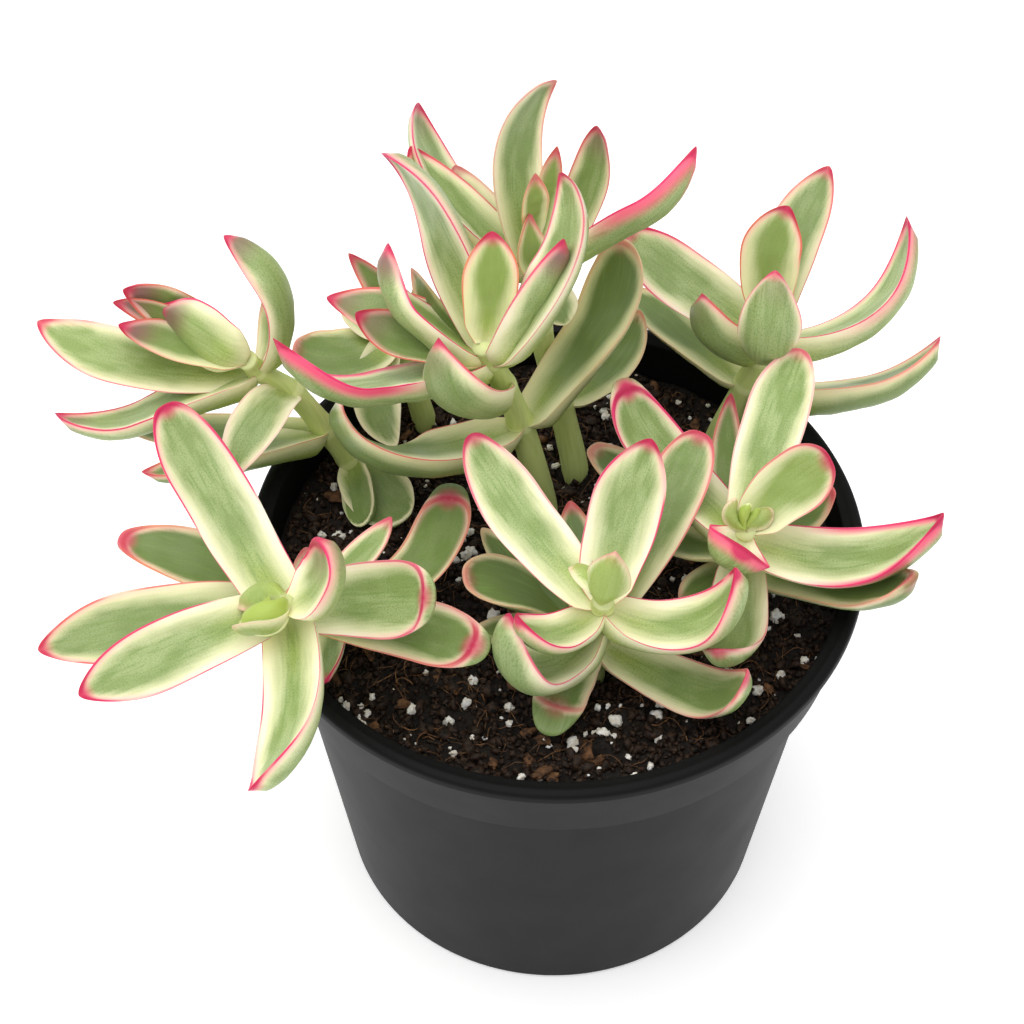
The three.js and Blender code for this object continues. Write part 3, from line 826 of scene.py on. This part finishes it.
# %% A leaf's mesh and attributes
def leaf_mesh(spec, root, rank, seed):
    """Vertices, faces and attributes of a leaf. rank is 0 for a stem's lowest leaves, 1 for its highest."""
    points, along, across, over, half = leaf_rings(spec, np.array(root, float), seed)
    tip_point = points[-1].mean(axis=0)
    points, along, half = points[:-1], along[:-1, None] + 0 * across, half[:-1]
    to_tip = np.linalg.norm(points - tip_point, axis=2)
    edge = margin_distance(points, tip_point) * np.where(over >= -1e-6, 1, -1)
    flat = np.stack([half * across, spec["length"] * along, np.where(over > 0, 0.0, 50.0) + 0 * half], axis=2)
    flat += (seed * 31.0, seed * 17.0, 0)
    age = max(0.0, 0.75 - 1.6 * rank) if spec["age"] is None else spec["age"]
    young = max(0.0, (rank - 0.72) / 0.28) if spec["young"] is None else spec["young"]
    vertices = np.concatenate([points.reshape(-1, 3), points[:1].mean(axis=1), [tip_point]])
    every = len(vertices)
    values = {"leaf_edge": np.append(edge.ravel(), [half[0].max(), 0]),
              "leaf_tip": np.append(to_tip.ravel(), [spec["length"], 0]),
              "leaf_along": np.append(along.ravel(), [0, 1]),
              "leaf_flat": np.concatenate([flat.reshape(-1, 3), flat[0, :1], flat[-1, :1]]),
              "leaf_years": np.tile((age, young, spec["cream"] * spec["width"] / 2), (every, 1)),
              "leaf_blush": np.tile((spec["pink"], spec["dusk"], seed * 0.618 % 1), (every, 1))}
    base, tip = every - 2, every - 1
    top_ring = base - LEAF_SIDES
    faces = []
    for j in range(LEAF_SIDES):
        k = (j + 1) % LEAF_SIDES
        faces += [(ring + j, ring + k, ring + LEAF_SIDES + k, ring + LEAF_SIDES + j)
                  for ring in range(0, top_ring, LEAF_SIDES)]
        faces += [(base, k, j), (tip, top_ring + j, top_ring + k)]
    return vertices, faces, values


print("triangles in a leaf:", 2 * LEAF_SIDES * LEAF_RINGS)

# %% [markdown]
# ## A stem
#
# Between its pairs of leaves a stem is a smooth pale green rod, about 8 mm thick at the mix and 4 mm at
# its top, a little swollen at each node where the leaves clasp it. It goes straight down into the mix.
# The tube function above does it, along a curve through the nodes. A Catmull-Rom curve is used because it
# passes through every node that was written down.

# %% A smooth curve through the nodes
STEM_TOP_RADIUS = 2.2
STEM_DEPTH = 15.0
STEM_SIDES = 24
STEM_STEPS = 14


def between(a, b, start, end, t):
    """The point that lies between a, at the time start, and b, at the time end, at the time t."""
    return a + (b - a) * (t - start) / (end - start)


def smooth_curve(points, steps):
    """A centripetal Catmull-Rom curve through the points, with this many steps between each two."""
    points = [np.array(p, float) for p in points]
    points = [2 * points[0] - points[1]] + points + [2 * points[-1] - points[-2]]
    times = [0.0]
    for a, b in zip(points, points[1:]):
        times.append(times[-1] + math.sqrt(np.linalg.norm(b - a)))
    curve = []
    for i in range(1, len(points) - 2):
        p0, p1, p2, p3 = points[i - 1:i + 3]
        t0, t1, t2, t3 = times[i - 1:i + 3]
        for step in range(steps):
            t = t1 + (t2 - t1) * step / steps
            a, b, c = between(p0, p1, t0, t1, t), between(p1, p2, t1, t2, t), between(p2, p3, t2, t3, t)
            curve.append(between(between(a, b, t0, t2, t), between(b, c, t1, t3, t), t1, t2, t))
    return np.array(curve + [points[-2]])


print("steps between two nodes:", STEM_STEPS)

# %% A stem's mesh
NODE_SWELLING = 0.14
NODE_SPREAD = 2.6
# A stem stands straight from its foot in the mix to a little above it
UPRIGHT_HEIGHTS = (-STEM_DEPTH, -4, 1.5)


def stem_mesh(nodes, seed):
    """Vertices, faces and attributes of a stem that stands straight in the mix and swells at its nodes."""
    x, y, _ = nodes[0]
    upright = [(x, y, SOIL_LEVEL + height) for height in UPRIGHT_HEIGHTS]
    route = upright + list(nodes[1:])
    path = smooth_curve(route, STEM_STEPS)
    along = np.linspace(0, 1, len(path))
    gaps = [np.linalg.norm(path - np.array(node, float), axis=1) for node in nodes[1:]]
    from_node = np.min(gaps, axis=0)
    radii = STEM_RADIUS + (STEM_TOP_RADIUS - STEM_RADIUS) * along
    radii = radii * (1 + NODE_SWELLING * np.exp(-(from_node / NODE_SPREAD) ** 2))
    vertices, faces = swept(path, radii, STEM_SIDES)
    turns = 2 * np.pi * np.arange(STEM_SIDES) / STEM_SIDES
    walked = np.append(0, np.cumsum(np.linalg.norm(np.diff(path, axis=0), axis=1)))
    around = radii[:, None] * turns[None, :]
    onward = walked[:, None] + 0 * turns
    flat = np.stack([around, onward, np.full_like(around, seed * 9.0)], axis=2).reshape(-1, 3)
    every = len(vertices)
    ring_values = [np.repeat(values, STEM_SIDES) for values in (from_node, along)]
    values = {"leaf_edge": np.append(ring_values[0], from_node[[0, -1]]),
              "leaf_tip": np.full(every, 50.0),
              "leaf_along": np.append(ring_values[1], [0, 1]),
              "leaf_flat": np.concatenate([flat, flat[:1], flat[-1:]]),
              "leaf_years": np.zeros((every, 3)),
              "leaf_blush": np.zeros((every, 3))}
    return vertices, faces, values


print(f"a stem tapers from {2 * STEM_RADIUS:.1f} to {2 * STEM_TOP_RADIUS:.1f} mm")

# %% [markdown]
# ## The leaf's finish
#
# A succulent leaf is a thin waxy skin over water-filled tissue. Light goes a little way in and comes out
# again, so a touch of subsurface scattering softens the shading, and the wax gives a broad dull
# highlight. The leaf is variegated: its middle has green cells and its margins have none, so they stay
# cream, and strong light turns the very edge pink. Old leaves are duller and edged with orange, and young
# ones are yellow-green.
#
# The material reads the attributes first. The distance from the margin is disturbed a little by three
# noises, two of them drawn out along the leaf, so that the green fades into the cream in soft streaks, as
# it does where cells divide in rows. The cream is broad at the root and narrow at the tip.

# %% Waxy leaf: reading the attributes
waxy_leaf, tree, shader = new_material("waxy_leaf")
reads = {name: add_node(tree, "ShaderNodeAttribute", attribute_name="leaf_" + name)
         for name in ("edge", "tip", "along", "flat", "years", "blush")}
edge, tip, along = (reads[name].outputs["Fac"] for name in ("edge", "tip", "along"))
flat = reads["flat"].outputs["Vector"]
years, blush = (add_node(tree, "ShaderNodeSeparateXYZ", {0: reads[name].outputs["Vector"]})
                for name in ("years", "blush"))
age, young, cream_mm = years.outputs
pink, dusk, chance = blush.outputs
print("attributes read:", ", ".join(sorted(reads)))

# %% Waxy leaf: grain of the colour
# Each pattern has its size across and along the leaf, in millimetres
patterns = {}
for name, across_mm, along_mm, detail in (("speckle", 0.34, 0.42, 3), ("streaks", 0.8, 9.0, 4),
                                          ("clouds", 4.5, 13.0, 2), ("patches", 7.0, 24.0, 1)):
    sized = add_node(tree, "ShaderNodeMapping", {"Vector": flat, "Scale": (1 / across_mm, 1 / along_mm, 1)})
    patterns[name] = add_node(tree, "ShaderNodeTexNoise", {"Vector": sized.outputs[0], "Scale": 1,
                                                           "Detail": detail}).outputs["Fac"]
print("patterns:", ", ".join(patterns))

# %% Waxy leaf: how far from the margin
from_margin = add_node(tree, "ShaderNodeMath", {0: edge}, operation="ABSOLUTE").outputs[0]
disturbed = from_margin
for pattern, reach in (("streaks", 0.6), ("clouds", 1.1), ("speckle", 0.3)):
    centred = add_node(tree, "ShaderNodeMath", {0: patterns[pattern], 1: 0.5}, operation="SUBTRACT")
    disturbed = add_node(tree, "ShaderNodeMath", {0: centred.outputs[0], 1: 2 * reach, 2: disturbed},
                         operation="MULTIPLY_ADD").outputs[0]
narrowed = add_node(tree, "ShaderNodeMapRange", {"Value": along, "From Min": 0.35, "To Min": 1.0,
                                                 "To Max": 0.45})
border = add_node(tree, "ShaderNodeMath", {0: cream_mm, 1: narrowed.outputs[0]}, operation="MULTIPLY")
borders_in = add_node(tree, "ShaderNodeMath", {0: disturbed, 1: border.outputs[0]},
                      operation="DIVIDE").outputs[0]
line_mm = add_node(tree, "ShaderNodeMapRange", {"Value": along, "From Min": 0.1, "To Min": 0.2,
                                                "To Max": 0.75})
lines_in = add_node(tree, "ShaderNodeMath", {0: from_margin, 1: line_mm.outputs[0]},
                    operation="DIVIDE").outputs[0]
print("the pink line is up to", line_mm.inputs["To Max"].default_value, "mm wide")

# %% Waxy leaf: where each colour is laid on
# A step has a value, where it begins, where it is full, and how strong that is: a number or another step
flush = add_node(tree, "ShaderNodeMath", {0: pink, 1: 1.0}, operation="SUBTRACT", use_clamp=True).outputs[0]
steps = {"age": age, "young": young, "pink": pink, "dusk": dusk, "flush": flush}
for name, value, start, end, strength in (
        ("clouded", patterns["clouds"], 0.4, 0.62, 1.0),
        ("speckled", patterns["speckle"], 0.46, 0.66, 0.45),
        ("streaked", patterns["streaks"], 0.46, 0.7, 0.6),
        ("belly", edge, 0.2, -0.2, 0.35),
        ("root", along, 0.45, 0.0, 0.8),
        ("fading", borders_in, 0.15, 1.2, 0.75),
        ("inside", borders_in, 0.45, 2.4, 1.0),
        ("ahead", along, 0.3, 0.95, "pink"),
        ("wash", from_margin, 2.3, 0.2, "ahead"),
        ("near_tip", tip, 9.0, 1.0, "pink"),
        ("crimson", from_margin, 1.5, 0.3, "near_tip"),
        ("dusky", tip, 12.0, 4.0, "dusk"),
        ("tipped", tip, 4.6, 1.0, "pink"),
        ("flushed", along, 0.2, 0.55, "flush"),
        ("facing", edge, 2.6, 0.3, "flushed"),
        ("band", edge, -4.8, -1.4, "facing"),
        ("uneven", patterns["patches"], 0.3, 0.5, "pink"),
        ("line", lines_in, 1.25, 0.6, "uneven")):
    steps[name] = add_node(tree, "ShaderNodeMapRange", {"Value": value, "From Min": start, "From Max": end,
                                                        "To Max": steps.get(strength, strength)},
                           interpolation_type="SMOOTHSTEP").outputs[0]
print("steps:", ", ".join(steps))

# %% Waxy leaf: colours over colours
# Each colour starts from one and has others laid over it, by the step that is named with them
recipes = {
    "green": ["#a3b478", ("clouded", "#8ca05f"), ("belly", "#a6b583"), ("age", "#63783b"),
              ("root", "#b2c35e"), ("streaked", "#7a954d"), ("speckled", "#67803f"), ("young", "#a5b955")],
    "pale": ["#fdf3d6", ("age", "#d9cf95"), ("root", "#f3f0c0"), ("young", "#dfe5a4")],
    "flesh": ["pale", ("fading", "#d9dda6"), ("inside", "green")],
    "edging": ["#e2316b", ("age", "#dd8a4c"), ("crimson", "#c0224f")],
    "skin": ["flesh", ("dusky", "#8a6a60"), ("wash", "#f8b4ac"), ("band", "#ec5a7c"), ("tipped", "#cf3a62"),
             ("crimson", "#c22d58"), ("line", "edging")],
}
colours = {}
for name, (first, *layers) in recipes.items():
    colour = colours[first] if first in colours else linear(first)
    for step, over in layers:
        over = colours[over] if over in colours else linear(over)
        laid = add_node(tree, "ShaderNodeMix", {0: steps[step], 6: colour, 7: over}, data_type="RGBA")
        colour = laid.outputs[2]
    colours[name] = colour
tone = add_node(tree, "ShaderNodeMapRange", {"Value": chance, "To Min": 0.9, "To Max": 1.07})
toned = add_node(tree, "ShaderNodeHueSaturation", {"Value": tone.outputs[0], "Color": colours["skin"]})
tree.links.new(toned.outputs["Color"], shader.inputs["Base Color"])
print("nodes in the leaf's material:", len(tree.nodes))

# %% Waxy leaf: skin and depth
SCATTER_MM = 1.6
WAX_IOR = 1.42
WAX_SHINE = 0.4
GREEN_TISSUE = (1.0, 0.9, 0.35)


def wax_over_tissue(shader, weight):
    """A wax skin over watery tissue that light enters a little way, green and red further than blue."""
    shader.inputs["IOR"].default_value = WAX_IOR
    shader.inputs["Specular IOR Level"].default_value = WAX_SHINE
    shader.inputs["Subsurface Weight"].default_value = weight
    shader.inputs["Subsurface Radius"].default_value = GREEN_TISSUE
    shader.inputs["Subsurface Scale"].default_value = SCATTER_MM * MM


satin = add_node(tree, "ShaderNodeMapRange", {"Value": patterns["speckle"], "To Min": 0.34, "To Max": 0.46})
relief = add_node(tree, "ShaderNodeBump", {"Height": patterns["speckle"], "Strength": 0.12,
                                           "Distance": 0.12 * MM})
tree.links.new(satin.outputs[0], shader.inputs["Roughness"])
tree.links.new(relief.outputs["Normal"], shader.inputs["Normal"])
wax_over_tissue(shader, 0.18)
print("light goes about", SCATTER_MM, "mm into a leaf")

# %% [markdown]
# ## The stem's finish
#
# The stems have the same skin as the leaves, without the variegation: pale yellow-green, lighter in a
# narrow ring at each node, browner just above the mix, with faint lines along their length.

# %% Green stem
green_stem, tree, shader = new_material("green_stem")
from_node = add_node(tree, "ShaderNodeAttribute", attribute_name="leaf_edge").outputs["Fac"]
along = add_node(tree, "ShaderNodeAttribute", attribute_name="leaf_along").outputs["Fac"]
flat = add_node(tree, "ShaderNodeAttribute", attribute_name="leaf_flat").outputs["Vector"]
drawn_out = add_node(tree, "ShaderNodeMapping", {"Vector": flat, "Scale": (1 / 0.8, 1 / 9, 1)})
lines = add_node(tree, "ShaderNodeTexNoise", {"Vector": drawn_out.outputs[0], "Scale": 1, "Detail": 3})
bark = linear("#c6d286")
for value, start, end, strength, over in (
        (lines.outputs["Fac"], 0.4, 0.68, 0.4, "#adc06c"),
        (from_node, 1.6, 0.5, 0.6, "#e2e8ac"),
        (along, 0.25, 0.05, 0.5, "#8b8954")):
    step = add_node(tree, "ShaderNodeMapRange", {"Value": value, "From Min": start, "From Max": end,
                                                 "To Max": strength}, interpolation_type="SMOOTHSTEP")
    laid = add_node(tree, "ShaderNodeMix", {0: step.outputs[0], 6: bark, 7: linear(over)}, data_type="RGBA")
    bark = laid.outputs[2]
tree.links.new(bark, shader.inputs["Base Color"])
shader.inputs["Roughness"].default_value = 0.5
wax_over_tissue(shader, 0.15)
print("nodes in the stem's material:", len(tree.nodes))

# %% [markdown]
# ## The eight leafy stems
#
# Each stem is written as the places of its nodes, from the mix up, and its leaves, from the lowest up.
# The places of the nodes are those of the solids in the model, so each finer stem stands where the solid
# stood. About a quarter of the leaves have the solid's own values. The others were turned, bent or resized
# later, by up to 18 mm at their ends, to lie over the same leaf in the photograph, and one small leaf of
# the right front stem is only here.

# %% From a description to a piece
def make_shoot(name, nodes, leaves):
    """One leafy stem as one mesh, which stands for the solid of the same name."""
    seed = len(bpy.data.objects) * 100
    parts = [stem_mesh(nodes, seed)]
    parts += [leaf_mesh(spec, nodes[spec["node"]], (spec["node"] - 1) / (len(nodes) - 2), seed + number)
              for number, spec in enumerate(leaves)]
    vertices, faces = joined([part[:2] for part in parts])
    attributes = {key: np.concatenate([part[2][key] for part in parts]) for key in parts[0][2]}
    kinds = [1] * len(parts[0][1]) + [0] * (len(faces) - len(parts[0][1]))
    shoot = make_piece(name + "_leaves", vertices, faces, [waxy_leaf, green_stem], kinds,
                       attributes)
    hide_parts(name)


print("finishes:", waxy_leaf.name, "and", green_stem.name)

# %% Front left stem
make_shoot("shoot_front_left", [(-46, -15, 103), (-54, -27, 121), (-60, -36, 133), (-64, -41, 141),
    (-63, -44, 146)], [
    leaf(1, 112, 10, 19, 11, age=0.5, pink=0.5),
    leaf(1, 157, 1, 56, 15.5, sway=-2, roll=10, tip=BLUNT, cream=0.2),
    leaf(1, 264, -13, 19, 9.5, sway=1, roll=-31, twist=-37, age=0.1, pink=1),
    leaf(1, 53, -1, 45.5, 13.5, bow=-1, sway=-7, roll=-8, twist=10, broad=0.8, tip=0.38, thick=0.55,
         nose=0.16, age=0.6, cream=0.16, pink=0.7),
    leaf(2, 189, -2, 62, 19, bow=1, sway=-3, roll=15, age=0.35, pink=0.9),
    leaf(2, 346, 0, 41, 15.5, bow=3, sway=2, roll=-20, broad=0.74, tip=0.38, thick=0.5, nose=0.14,
         age=0.4),
    leaf(2, 50, 10, 32, 11, bow=1, roll=22, pink=0.6),
    leaf(3, 121, 15, 59, 17, bow=4, sway=-1, neck=0.8, broad=0.66, tip=BLUNT, nose=0.03, cream=0.35,
         pink=1),
    leaf(3, 264, -2, 50, 17, bow=5, sway=3, roll=-28, twist=-38, neck=0.75, thick=0.5, cream=0.38,
         pink=1),
    leaf(3, 208, -2, 51, 16.5, sway=-1, roll=20, cream=0.34, pink=1),
    leaf(3, 357, 10, 33, 18.5, bow=8, sway=1, roll=-34, broad=0.74, tip=0.38, thick=0.45, nose=0.16),
    leaf(4, 40, 47, 17, 18.5, bow=1, sway=-2.5, roll=27, twist=8, hook=2, tip=0.65, thick=0.5, nose=0.1,
         young=0.1, pink=1.3, dusk=0.5),
    leaf(4, 175, -18, 11, 10, bow=-0.5, sway=3, roll=156, tip=0.65, thick=0.6, young=0.5, pink=0.15),
    leaf(4, 201, 4, 12, 11.5, bow=-1, sway=2.5, roll=-21, twist=-30, hook=-3, tip=0.65, thick=0.6,
         young=0.5, pink=0.15),
    leaf(4, 206, -5, 11, 9, bow=0.5, sway=-2.5, roll=188, twist=-47, tip=0.65, thick=0.7, young=1,
         pink=0),
    leaf(4, 201, 3, 7, 7.5, bow=-2, roll=137, hook=1, tip=0.65, thick=0.8, young=1, pink=0.1),
])

# %% Back left stem
make_shoot("shoot_back_left", [(-50, 32, 103), (-52.5, 32.5, 109), (-58, 33, 119), (-66, 35, 131),
    (-74, 34, 140), (-76, 32, 146)], [
    leaf(1, 281, 2, 23, 10, roll=-40, tip=BLUNT, thick=0.5, age=0.45, cream=0.15, pink=0),
    leaf(1, 303, 0, 25, 16.5, roll=-10, tip=BLUNT, thick=0.45, age=0.4, cream=0.15, pink=0),
    leaf(2, 184, 5, 50, 13, bow=-1, sway=2, roll=-5, age=0.4, pink=0.3),
    leaf(2, 206, 5, 49, 15, bow=-3, sway=3, roll=-25, hook=3, thick=0.45, age=0.65),
    leaf(3, 245, 3, 35, 12.5, bow=-10, roll=10, age=0.15, pink=0.3),
    leaf(4, 166, 3, 57, 15.5, bow=-2, sway=5.5, roll=15, age=0.15),
    leaf(4, 188, -24, 51, 14, bow=-5, sway=4.5, roll=-14, twist=-25, hook=11, thick=0.5, age=0.1, pink=1,
         dusk=0.5),
    leaf(4, 107, 60, 35, 12, bow=8, sway=-2, roll=112, twist=53, hook=2, thick=0.42, pink=1, dusk=0.8),
    leaf(5, 143, 14, 25, 18, bow=3.5, roll=-117, twist=33, hook=-4.5, tip=1.1, thick=0.2, young=0.25,
         pink=1, dusk=0.9),
    leaf(5, 169, 13, 32.5, 12, bow=0.5, sway=0.5, roll=6, twist=-15, hook=-1.5, young=0.1, age=0.6,
         pink=1, dusk=1),
    leaf(5, 157, 21, 34.5, 14, bow=1.5, roll=66, twist=14, hook=1.5, young=0.1, age=0.6, pink=1, dusk=1),
    leaf(5, 160, 12, 36, 10, bow=1, sway=-1, roll=79, twist=8, young=0.1, age=0.6, pink=1, dusk=1),
    leaf(4, 84, 34, 18, 7, bow=2, roll=40, thick=0.5, cream=0.6, pink=0.2),
])

# %% Centre stem
make_shoot("shoot_centre", [(-3, 20, 103), (-9, 23, 133), (-13, 21, 149), (-16, 19, 160), (-18, 18, 166)], [
    leaf(1, 165, -9, 48, 19, bow=-3.5, sway=16, roll=-7, twist=-107, hook=1, thick=0.5, age=0.55, pink=1,
         dusk=0.3),
    leaf(1, 47, 28, 49.5, 19.5, bow=-2, sway=-3, roll=23, twist=-9, hook=9.5, broad=0.72, tip=0.5,
         thick=0.4, age=0.85, pink=0.3),
    leaf(3, 188, -6, 50, 18, bow=1, sway=-3.5, roll=-27, twist=-22, hook=15, thick=0.44, pink=2,
         dusk=0.6),
    leaf(2, 205, 51, 27, 21, bow=6, sway=-1.5, roll=-55, twist=36, hook=2.5, tip=1, thick=0.32, pink=1,
         dusk=0.4),
    leaf(3, 115, 22, 57.5, 17, bow=-7.5, sway=-6.5, roll=58, twist=60, hook=6, thick=0.45, pink=1.2),
    leaf(3, 152, -1, 45.5, 14, bow=1.5, sway=-2.5, roll=24, twist=-22, age=0.45, cream=0.1, pink=1,
         dusk=0.6),
    leaf(3, 162, 3, 34.5, 13, roll=-4, twist=30, hook=3, age=0.5, cream=0.1, pink=1, dusk=0.6),
    leaf(3, 154, 26, 36, 18, bow=0.5, sway=-3, roll=-35, twist=-24, hook=8.5, thick=0.42, pink=1, dusk=1),
    leaf(3, 22, 62, 38.5, 16, roll=62, thick=0.42, pink=1, dusk=1),
    leaf(3, 60, 34, 47, 16.5, bow=-8.5, sway=-15.5, roll=29, twist=20, hook=5, thick=0.45),
    leaf(4, 81, 59, 28, 13.5, bow=-2, sway=-1, age=0.75, young=0.35, cream=0.34, pink=1),
    leaf(3, 136, 4, 46, 10, bow=3, sway=5, roll=45, twist=10, hook=4, thick=0.5, age=0.5, cream=0.2),
    leaf(3, 125, 4, 34.5, 9, bow=-3, sway=1.5, roll=64, twist=15, age=0.7, pink=0.3),
])

# %% Back stem
make_shoot("shoot_back", [(5, 33, 103), (1, 39, 123), (-4, 45, 144), (-4, 46, 163), (-5, 48, 170)], [
    leaf(1, 48, 17, 32, 13, bow=2.5, sway=-2.5, age=0.8, pink=0.3),
    leaf(3, 290, -10, 17, 11, age=0.3, pink=0),
    leaf(3, 86, 29, 47.5, 16.5, bow=-3, sway=9.5, roll=-32, twist=-53, hook=2.5, age=0.3, pink=0.5),
    leaf(3, 126, 16, 54.5, 20.5, bow=4, sway=3, roll=-38, twist=-13, hook=1, pink=1, dusk=0.4),
    leaf(3, 140, 21, 44.5, 17, bow=1, sway=3, roll=-8, twist=-10, age=0.3, pink=1),
    leaf(3, 129, 17, 35, 14, bow=2, sway=1.5, roll=-10, age=0.2, cream=0.55, pink=0.4),
    leaf(3, 54, 53, 38, 12.5, bow=5.5, roll=10, age=0.25, dusk=0.6),
    leaf(3, 4, 33, 47.5, 10.5, bow=-3, sway=2, roll=71, twist=8, hook=11, thick=0.45, pink=1.9),
    leaf(4, 72, 50, 24, 6, bow=2, roll=-6, twist=8, hook=-1, tip=1, age=0.85, young=0.3, pink=0.7),
    leaf(4, 77, 72, 18, 8.3, sway=1.5, roll=-54, twist=16, hook=-2.5, tip=1, age=0.85, young=0.4,
         pink=0.5),
    leaf(3, 120, 80, 16.5, 9, bow=-3, sway=3.5, roll=-4, twist=-12, hook=-2, tip=1, age=0.85, young=0.4,
         pink=0.6),
])

# %% Back right stem
make_shoot("shoot_back_right", [(42, 42, 103), (48.5, 44, 124), (51, 44, 134), (53, 44, 142),
    (54, 44, 147)], [
    leaf(1, 131, 1, 45, 14, bow=-2, sway=2, roll=-10, pink=0.3),
    leaf(1, 5, 5, 50, 17, bow=3, roll=42, hook=6, thick=0.5, age=0.6),
    leaf(3, 141, 10, 46, 16, sway=1.5, roll=20, tip=0.6, pink=1),
    leaf(3, 68, 25, 47, 15, bow=-0.5, sway=2.5, roll=10, age=0.3),
    leaf(3, 262, 82, 27, 15.5, bow=9, thick=0.42, pink=0.7, dusk=0.3),
    leaf(3, 161, 26, 20, 17, bow=4, roll=-60, thick=0.5, age=0.4, pink=1, dusk=0.3),
    leaf(3, 30, 21, 45, 17, bow=9, roll=42, hook=4, thick=0.45, pink=1.4, dusk=0.4),
    leaf(4, 80, 57, 29, 15, bow=-2, sway=3, age=0.55, young=0.25, cream=0.34, pink=1),
])

# %% Right front stem
make_shoot("shoot_right_front", [(44, -9, 103), (44, -11, 120), (44, -13, 129), (44, -16, 136),
    (44, -18, 141)], [
    leaf(1, 135, 3, 49, 14, sway=-1, tip=BLUNT, pink=0.3),
    leaf(1, 38, 12, 30, 11, bow=3, roll=-20, tip=0.55, pink=0.6),
    leaf(1, 340, 8, 42.5, 14.5, bow=0.5, roll=-10, twist=26, hook=7, broad=0.74, tip=0.4, thick=0.62,
         nose=0.09, age=0.75, pink=0.5),
    leaf(1, 215, -5, 18, 10, pink=0.2),
    leaf(1, 90, 9, 49, 9, bow=5, roll=-19, age=0.5),
    leaf(2, 259, -1, 34, 16, bow=7, roll=-12, hook=4, thick=0.5, nose=0.07, age=0.15),
    leaf(2, 153, -8, 27, 12, bow=1, sway=3, roll=-10, age=0.8, pink=0.2),
    leaf(3, 125, 3, 49, 18, bow=1, hook=5, roll=-14, broad=0.7, tip=BLUNT, thick=0.45, nose=0.1, pink=1),
    leaf(3, 72, 16, 52, 15.5, bow=-1.5, sway=1, broad=0.64, tip=0.6, nose=0.02, pink=0.5),
    leaf(3, 2, 5, 47, 17, bow=5, sway=-5, roll=-18, twist=56, hook=5, tip=0.85, thick=0.55, nose=0.03,
         cream=0.36, pink=1.9),
    leaf(4, 30, 28, 26, 15.5, bow=2, sway=1.5, roll=-25, broad=0.66, tip=BLUNT, nose=0.03, age=0.2,
         young=0.35),
    leaf(4, 266, 20, 8, 18, bow=2, roll=35, tip=0.7, thick=0.45, young=0.1, pink=1.9),
    leaf(4, 122, 57, 8.5, 4.4, bow=-2, sway=-2, roll=168, tip=0.65, thick=0.7, young=0.6, pink=0.1),
    leaf(4, 33, 20, 8, 5.2, bow=-1, roll=165, tip=0.65, thick=0.7, young=0.6, pink=0.1),
    leaf(4, 72, 65, 7, 3.4, bow=-1, sway=-1, roll=151, tip=0.65, thick=0.8, young=1, pink=0),
    leaf(4, 48, 37, 6, 3, roll=176, tip=0.65, thick=0.8, young=1, pink=0),
])

# %% Front stem
make_shoot("shoot_front", [(8, -30, 103), (9, -33, 118), (10, -36, 130), (10, -38, 138), (10, -41, 144)], [
    leaf(1, 156, 15, 34.5, 19, bow=-2, sway=-5, roll=-38, twist=38, hook=-1.5, tip=BLUNT, age=0.85,
         cream=0.16, pink=0.3),
    leaf(1, 166, -8, 30, 12, age=0.9, pink=0.1),
    leaf(1, 131, 5, 42, 11, bow=1, age=0.9, pink=0.1),
    leaf(1, 328, 10, 43, 14, bow=10, sway=1, roll=-13, twist=-13, hook=10, tip=0.55, thick=0.45,
         nose=0.08, age=0.35),
    leaf(1, 239, -15, 19, 13, bow=1, sway=-1, roll=12, broad=0.82, tip=0.34, thick=0.7, nose=0.45,
         age=0.5, pink=0.4),
    leaf(1, 99, 12, 38, 11, bow=1.5, age=0.85, pink=0.6),
    leaf(2, 61, 18, 53, 14.5, bow=1, sway=-1, roll=-10, broad=0.7, tip=BLUNT, nose=0.02, age=0.35),
    leaf(2, 203, 31, 27, 19.5, bow=12.5, roll=-15, thick=0.45, age=0),
    leaf(3, 125, 11, 54.5, 15.5, sway=2.5, roll=10, tip=0.6, nose=0.02, cream=0.34),
    leaf(3, 71, 29, 41, 17.5, bow=2, sway=1.5, cream=0.34, pink=1),
    leaf(3, 357, 21, 33, 17, bow=11, roll=5, hook=3, thick=0.55, nose=0.06, cream=0.36, pink=1.2),
    leaf(3, 205, 20, 23, 14.5, bow=5.5, roll=-14, thick=0.45, cream=0.36, pink=1.2),
    leaf(4, 45, 76, 15, 10.5, roll=150, broad=0.42, tip=1.1, thick=0.5, young=0.6, pink=0.25),
    leaf(4, 152, 34, 11, 8.5, bow=0.5, roll=150, tip=0.75, thick=0.45, young=0.6, pink=0.1),
])

# %% Small stem behind the centre
make_shoot("shoot_back_hidden", [(-34, 50, 103), (-38, 54, 118), (-41, 56, 130)], [
    leaf(2, 198, 7, 26, 18, bow=2, sway=3, tip=BLUNT, age=0.45, young=0, cream=0.15, pink=0.3),
    leaf(2, 272, -16, 32, 12, sway=-5, age=0.3, young=0, pink=0),
    leaf(2, 136, 20, 15, 12, bow=1, sway=2, age=0.4, young=0, pink=0.1),
    leaf(2, 40, 60, 14, 9, bow=3, sway=-3, age=0.4, young=0, pink=0.1),
])

# %% [markdown]
# ## Size
#
# The finer pieces must stay within the solids that they stand for, so the whole box is measured again and
# kept beside the one from before.


box_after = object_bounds()
for name, box in (("solids", box_before), ("dressed", box_after)):
    print(name, [round((high - low) / MM, 1) for low, high in zip(*box)], "mm")
